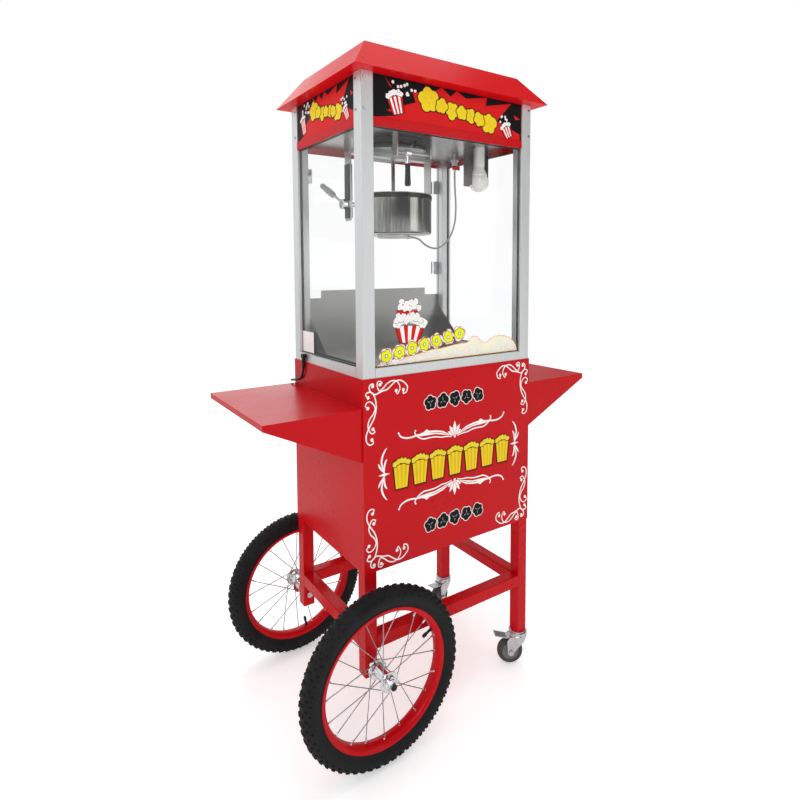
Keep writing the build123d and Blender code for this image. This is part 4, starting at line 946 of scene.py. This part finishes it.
for side in (-1, 1):
    for edge_v, inward in ((panel_high.z + 1, -1), (panel_low.z, 1)):
        for points, width in CORNER:
            path = smooth([(side * (panel_high.x - a), edge_v + inward * b) for a, b in points])
            front.stroke("white_ink", path, width * 0.8, width * 0.8, width)
            for end in (path[0], path[-1]):
                front.put("white_ink", disc(*end, BALL), 1)
# a spray above the tubs and one below: petals round a knob, and on each side a leaf, a tail and a hook
LEAF = ((9, 0), (15, 4), (37, 16), (59, 21), (78, 23), (86, 28), (94, 23), (105, 20), (115, 17), (103, 14),
        (86, 13), (59, 12), (26, 4))
TAIL = ((103, 18), (115, 18), (131, 16), (147, 17), (161, 23), (167, 32))
HOOK = ((9, -3), (24, 0), (41, 1), (59, 5), (78, 6), (95, 6), (109, 12), (118, 20), (121, 26), (119, 30))
VEIN = ((22, 5), (46, 13.5), (76, 17.5))
for base, up in ((697.0, 1), (580.0, -1)):
    for lean, long in ((-62, 24), (62, 24), (-33, 30), (33, 30), (0, 36)):
        level = 4 if lean == 0 else 2 if abs(lean) < 50 else 0
        for colour, grow, layer in (("sign_red", 1.5, level), ("white_ink", 0.0, level + 1)):
            petal = [(0, -grow), (5.2 + grow, long * 0.4), (4.4 + grow, long * 0.66), (0, long + grow),
                     (-4.4 - grow, long * 0.66), (-5.2 - grow, long * 0.4)]
            front.put(colour, turned(petal, (0, base), -lean, up), layer)
    front.put("white_ink", disc(0, base - up * 3, 3.6), 6)
    for side in (-1, 1):
        front.put("white_ink", [(side * a, base + up * b) for a, b in LEAF])
        for points, root, tip, swell in ((TAIL, 4.6, 3.0, 4.0), (HOOK, 2.2, 2.8, 3.4)):
            path = smooth([(side * a, base + up * b) for a, b in points])
            front.stroke("white_ink", path, root, tip, swell)
        for (a, b), radius in ((TAIL[-1], 2.3), (HOOK[-1], 2.1)):
            front.put("white_ink", disc(side * a, base + up * b, radius), 1)
        vein = smooth([(side * a, base + up * b) for a, b in VEIN])
        front.stroke("sign_red", vein, 0.8, 0.6, 1.5, 1)
# a sheaf of blades at each end of the tubs, tied by a lozenge
SHEAF_U, SHEAF_V = 207, 639
for side in (-1, 1):
    for up in (-1, 1):
        for points, swell in ((((1, 4), (-3, 16), (-7, 30), (-4, 44), (3, 56), (8, 61)), 4.8),
                              (((-1, 5), (-6, 12), (-12, 20), (-16, 28)), 5.0),
                              (((1, 8), (1, 20), (4, 30), (8, 35)), 4.4)):
            path = smooth([(-side * (SHEAF_U - a), SHEAF_V + up * b) for a, b in points])
            front.stroke("white_ink", path, 1.4, 0.8, swell)
    lozenge = [(-side * (SHEAF_U - a), SHEAF_V + b) for a, b in ((-16, 0), (0, 3.8), (16, 0), (0, -3.8))]
    front.put("white_ink", lozenge, 1)
TUB_V, TUB_PITCH, TUB_WIDE, TUB_TALL = 598, 53.5, 44, 56
for k in range(7):
    u = 1 + (k - 3) * TUB_PITCH
    tub(front, u + 3, TUB_V - 4, TUB_WIDE, TUB_TALL, 0, 0, ("shadow_ink", "shadow_ink"), "shadow_ink",
        "shadow_ink", 2.4)
    tub(front, u, TUB_V, TUB_WIDE, TUB_TALL, 0, 5, ("yellow_ink", "amber_ink"), "yellow_ink",
        "black_ink", 2.4)
for v in (788.0, 487.0):
    for k in range(5):
        popped(front, 1 + (k - 2) * 38, v, 17.0, 0.4 + k, "black_ink", "white_ink", 1.7, 0)
front.done("front_print")


# ---- header signs: a red burst on black, flying kernels, tubs and a row of yellow flakes ----
BURST = ((222, 0), (222, 15), (140, 38), (191, 89), (102, 70), (107, 91), (38, 78), (9, 92), (-10, 75),
         (-36, 92), (-60, 79), (-84, 90), (-96, 66), (-124, 74), (-112, 46), (-192, 18), (-160, 10),
         (-216, 0))
FLAKES = ((-76, 58, 28), (-38, 49, 17), (-6, 42, 19), (24, 42, 16), (52, 39, 17), (80, 34, 17), (112, 28, 25))


def sign(name, origin, right, half, low, high, seed):
    """One header sign; all that is drawn narrows with its half width."""
    sheet = Print(origin, right)
    narrow = half / 227
    sheet.put("black_ink", [(-half, low), (half, low), (half, high), (-half, high)], 0)
    sheet.put("sign_red", [(u * narrow, min(low + 0.4 + v, high - 0.4)) for u, v in BURST], 1)
    for shard in (((-196, 90), (-176, 68), (-184, 72)), ((200, 62), (222, 54), (206, 50))):
        sheet.put("sign_red", [(u * narrow, low + v) for u, v in shard], 1)
    tub(sheet, -160 * narrow, low + 14, 42 * narrow, 38, 16, 2)
    tub(sheet, 184 * narrow, low + 4, 34 * narrow, 27, 28, 2)
    draw = random.Random(seed)
    for count, start, wide, foot, tall, size in ((11, -176, 62, 58, 28, 3.6), (7, 140, 40, 38, 16, 3.0)):
        for k in range(count):
            u, v = (start + wide * draw.random()) * narrow, low + foot + tall * draw.random()
            popped(sheet, u, v, size, k * 1.1, "white_ink", "black_ink", 0.7, 6)
    for k, (u, v, size) in enumerate(FLAKES):
        popped(sheet, u * narrow, low + v, size * (0.4 + 0.6 * narrow), 0.5 + k * 0.8, "yellow_ink",
               "black_ink", 2.2, 7 + 3 * (k % 2), "orange_ink")
    sheet.done(name)


POST = 32.0
frame_low, frame_high = span("cabinet_frame")
SIGN_LOW, SIGN_HIGH, SIGN_SET = 1441.6, frame_high.z - 1.2, 3.0
inner_x, inner_y = frame_high.x - POST - 0.8, frame_high.y - POST - 0.8
sign("front_sign", (0, frame_low.y + SIGN_SET, 0), (1, 0, 0), inner_x, SIGN_LOW, SIGN_HIGH, 3)
sign("left_sign", (frame_low.x + SIGN_SET, 0, 0), (0, -1, 0), inner_y, SIGN_LOW, SIGN_HIGH, 5)
sign("right_sign", (frame_high.x - SIGN_SET, 0, 0), (0, 1, 0), inner_y, SIGN_LOW, SIGN_HIGH, 8)

# ---- film on the glass: a heap of popcorn, a row of kernels, a tub and a blank label ----
film = Print((0, front_low.y, 0), (1, 0, 0), "white_ink")
HEAP_LOW = 886.6
crest = smooth([(-217, 891), (-150, 899), (-60, 912), (45, 922), (62, 934), (80, 934), (95, 922), (110, 916),
                (128, 925), (150, 931), (172, 930), (196, 923), (214, 908), (222, 894)], 5)
crest = [(u, v + 2.6 * abs(sin(k * 0.83)) - 1.3) for k, (u, v) in enumerate(crest)]
heap = [(-219, HEAP_LOW)] + [(u, v + 1.2) for u, v in crest] + [(224.5, HEAP_LOW)]
film.put("cream_ink", heap, 0)
film.stroke("orange_ink", heap[1:-1], 1.5, 1.5, layer=1)
foot_line = [(u, HEAP_LOW + 1.2) for u in (-219, 2, 224.5)]
film.stroke("orange_ink", foot_line, 2.2, 2.2, layer=1)
draw = random.Random(12)
for k in range(44):
    share = draw.random()
    u = -205 + 416 * share
    top = min(v for a, v in crest if abs(a - u) < 16) - HEAP_LOW - 9
    v = HEAP_LOW + 8 + max(0, top - 8) * draw.random()
    popped(film, u, v, 4.6 + 2.2 * draw.random(), k * 0.9, "white_ink", "tan_ink", 0.6, 2, "tan_ink")
RINGS = (("pink_ink", 20.6, 6), ("cream_ink", 19.2, 6), ("black_ink", 15.4, 5), ("lemon_ink", 14.0, 5))
for k in range(7):
    u, v = -193 + 36 * k, 910 + 6.2 * k
    for layer, (colour, size, lobes) in enumerate(RINGS, 5):
        film.put(colour, flake(u, v, size, k * 0.9, lobes), layer)
    film.put("black_ink", disc(u, v, 4.4), 9)
    film.put("cream_ink", disc(u, v, 3.2), 10)
tub(film, -129, 936, 86, 40, -4, 1, foot_share=0.6)
film.put("sign_red", [(-166, 1003), (-104, 999), (-101, 1011), (-164, 1015)], 4)
for k in range(22):
    level = k // 6
    u = -164 + (k % 6) * 13.5 + level * 4.5
    v = (990, 998, 1018, 1030)[level] + 3 * sin(k * 2.2)
    if u < -88 - level * 4:
        popped(film, u, v, 7.4, k * 1.7, "white_ink", "black_ink", 0.9, 5 if level < 2 else 8)
film.done("glass_film", slot="clear_glass")
label = Print((side_low.x, 0, 0), (0, -1, 0))
for layer, (colour, inset) in enumerate((("grey_ink", 0), ("white_ink", 1.2))):
    left, right, low, high = -168.6 + inset, -83.4 - inset, 888.6 + inset, 944.4 - inset
    label.put(colour, [(left, low), (right, low), (right, high), (left, high)], layer)
label.done("glass_label", slot="clear_glass")

# ---- blank tag on the kettle cable ----
TAG_LOW, TAG_HIGH = 1392, 1404
socket = middle("kettle_connector")
tag = Shape().block((socket.x - 16, socket.y - 9.4, TAG_LOW), (socket.x + 12, socket.y - 8.6, TAG_HIGH), 0.2)
make("cable_tag", tag, ink["sign_red"], "root", "red_paint")
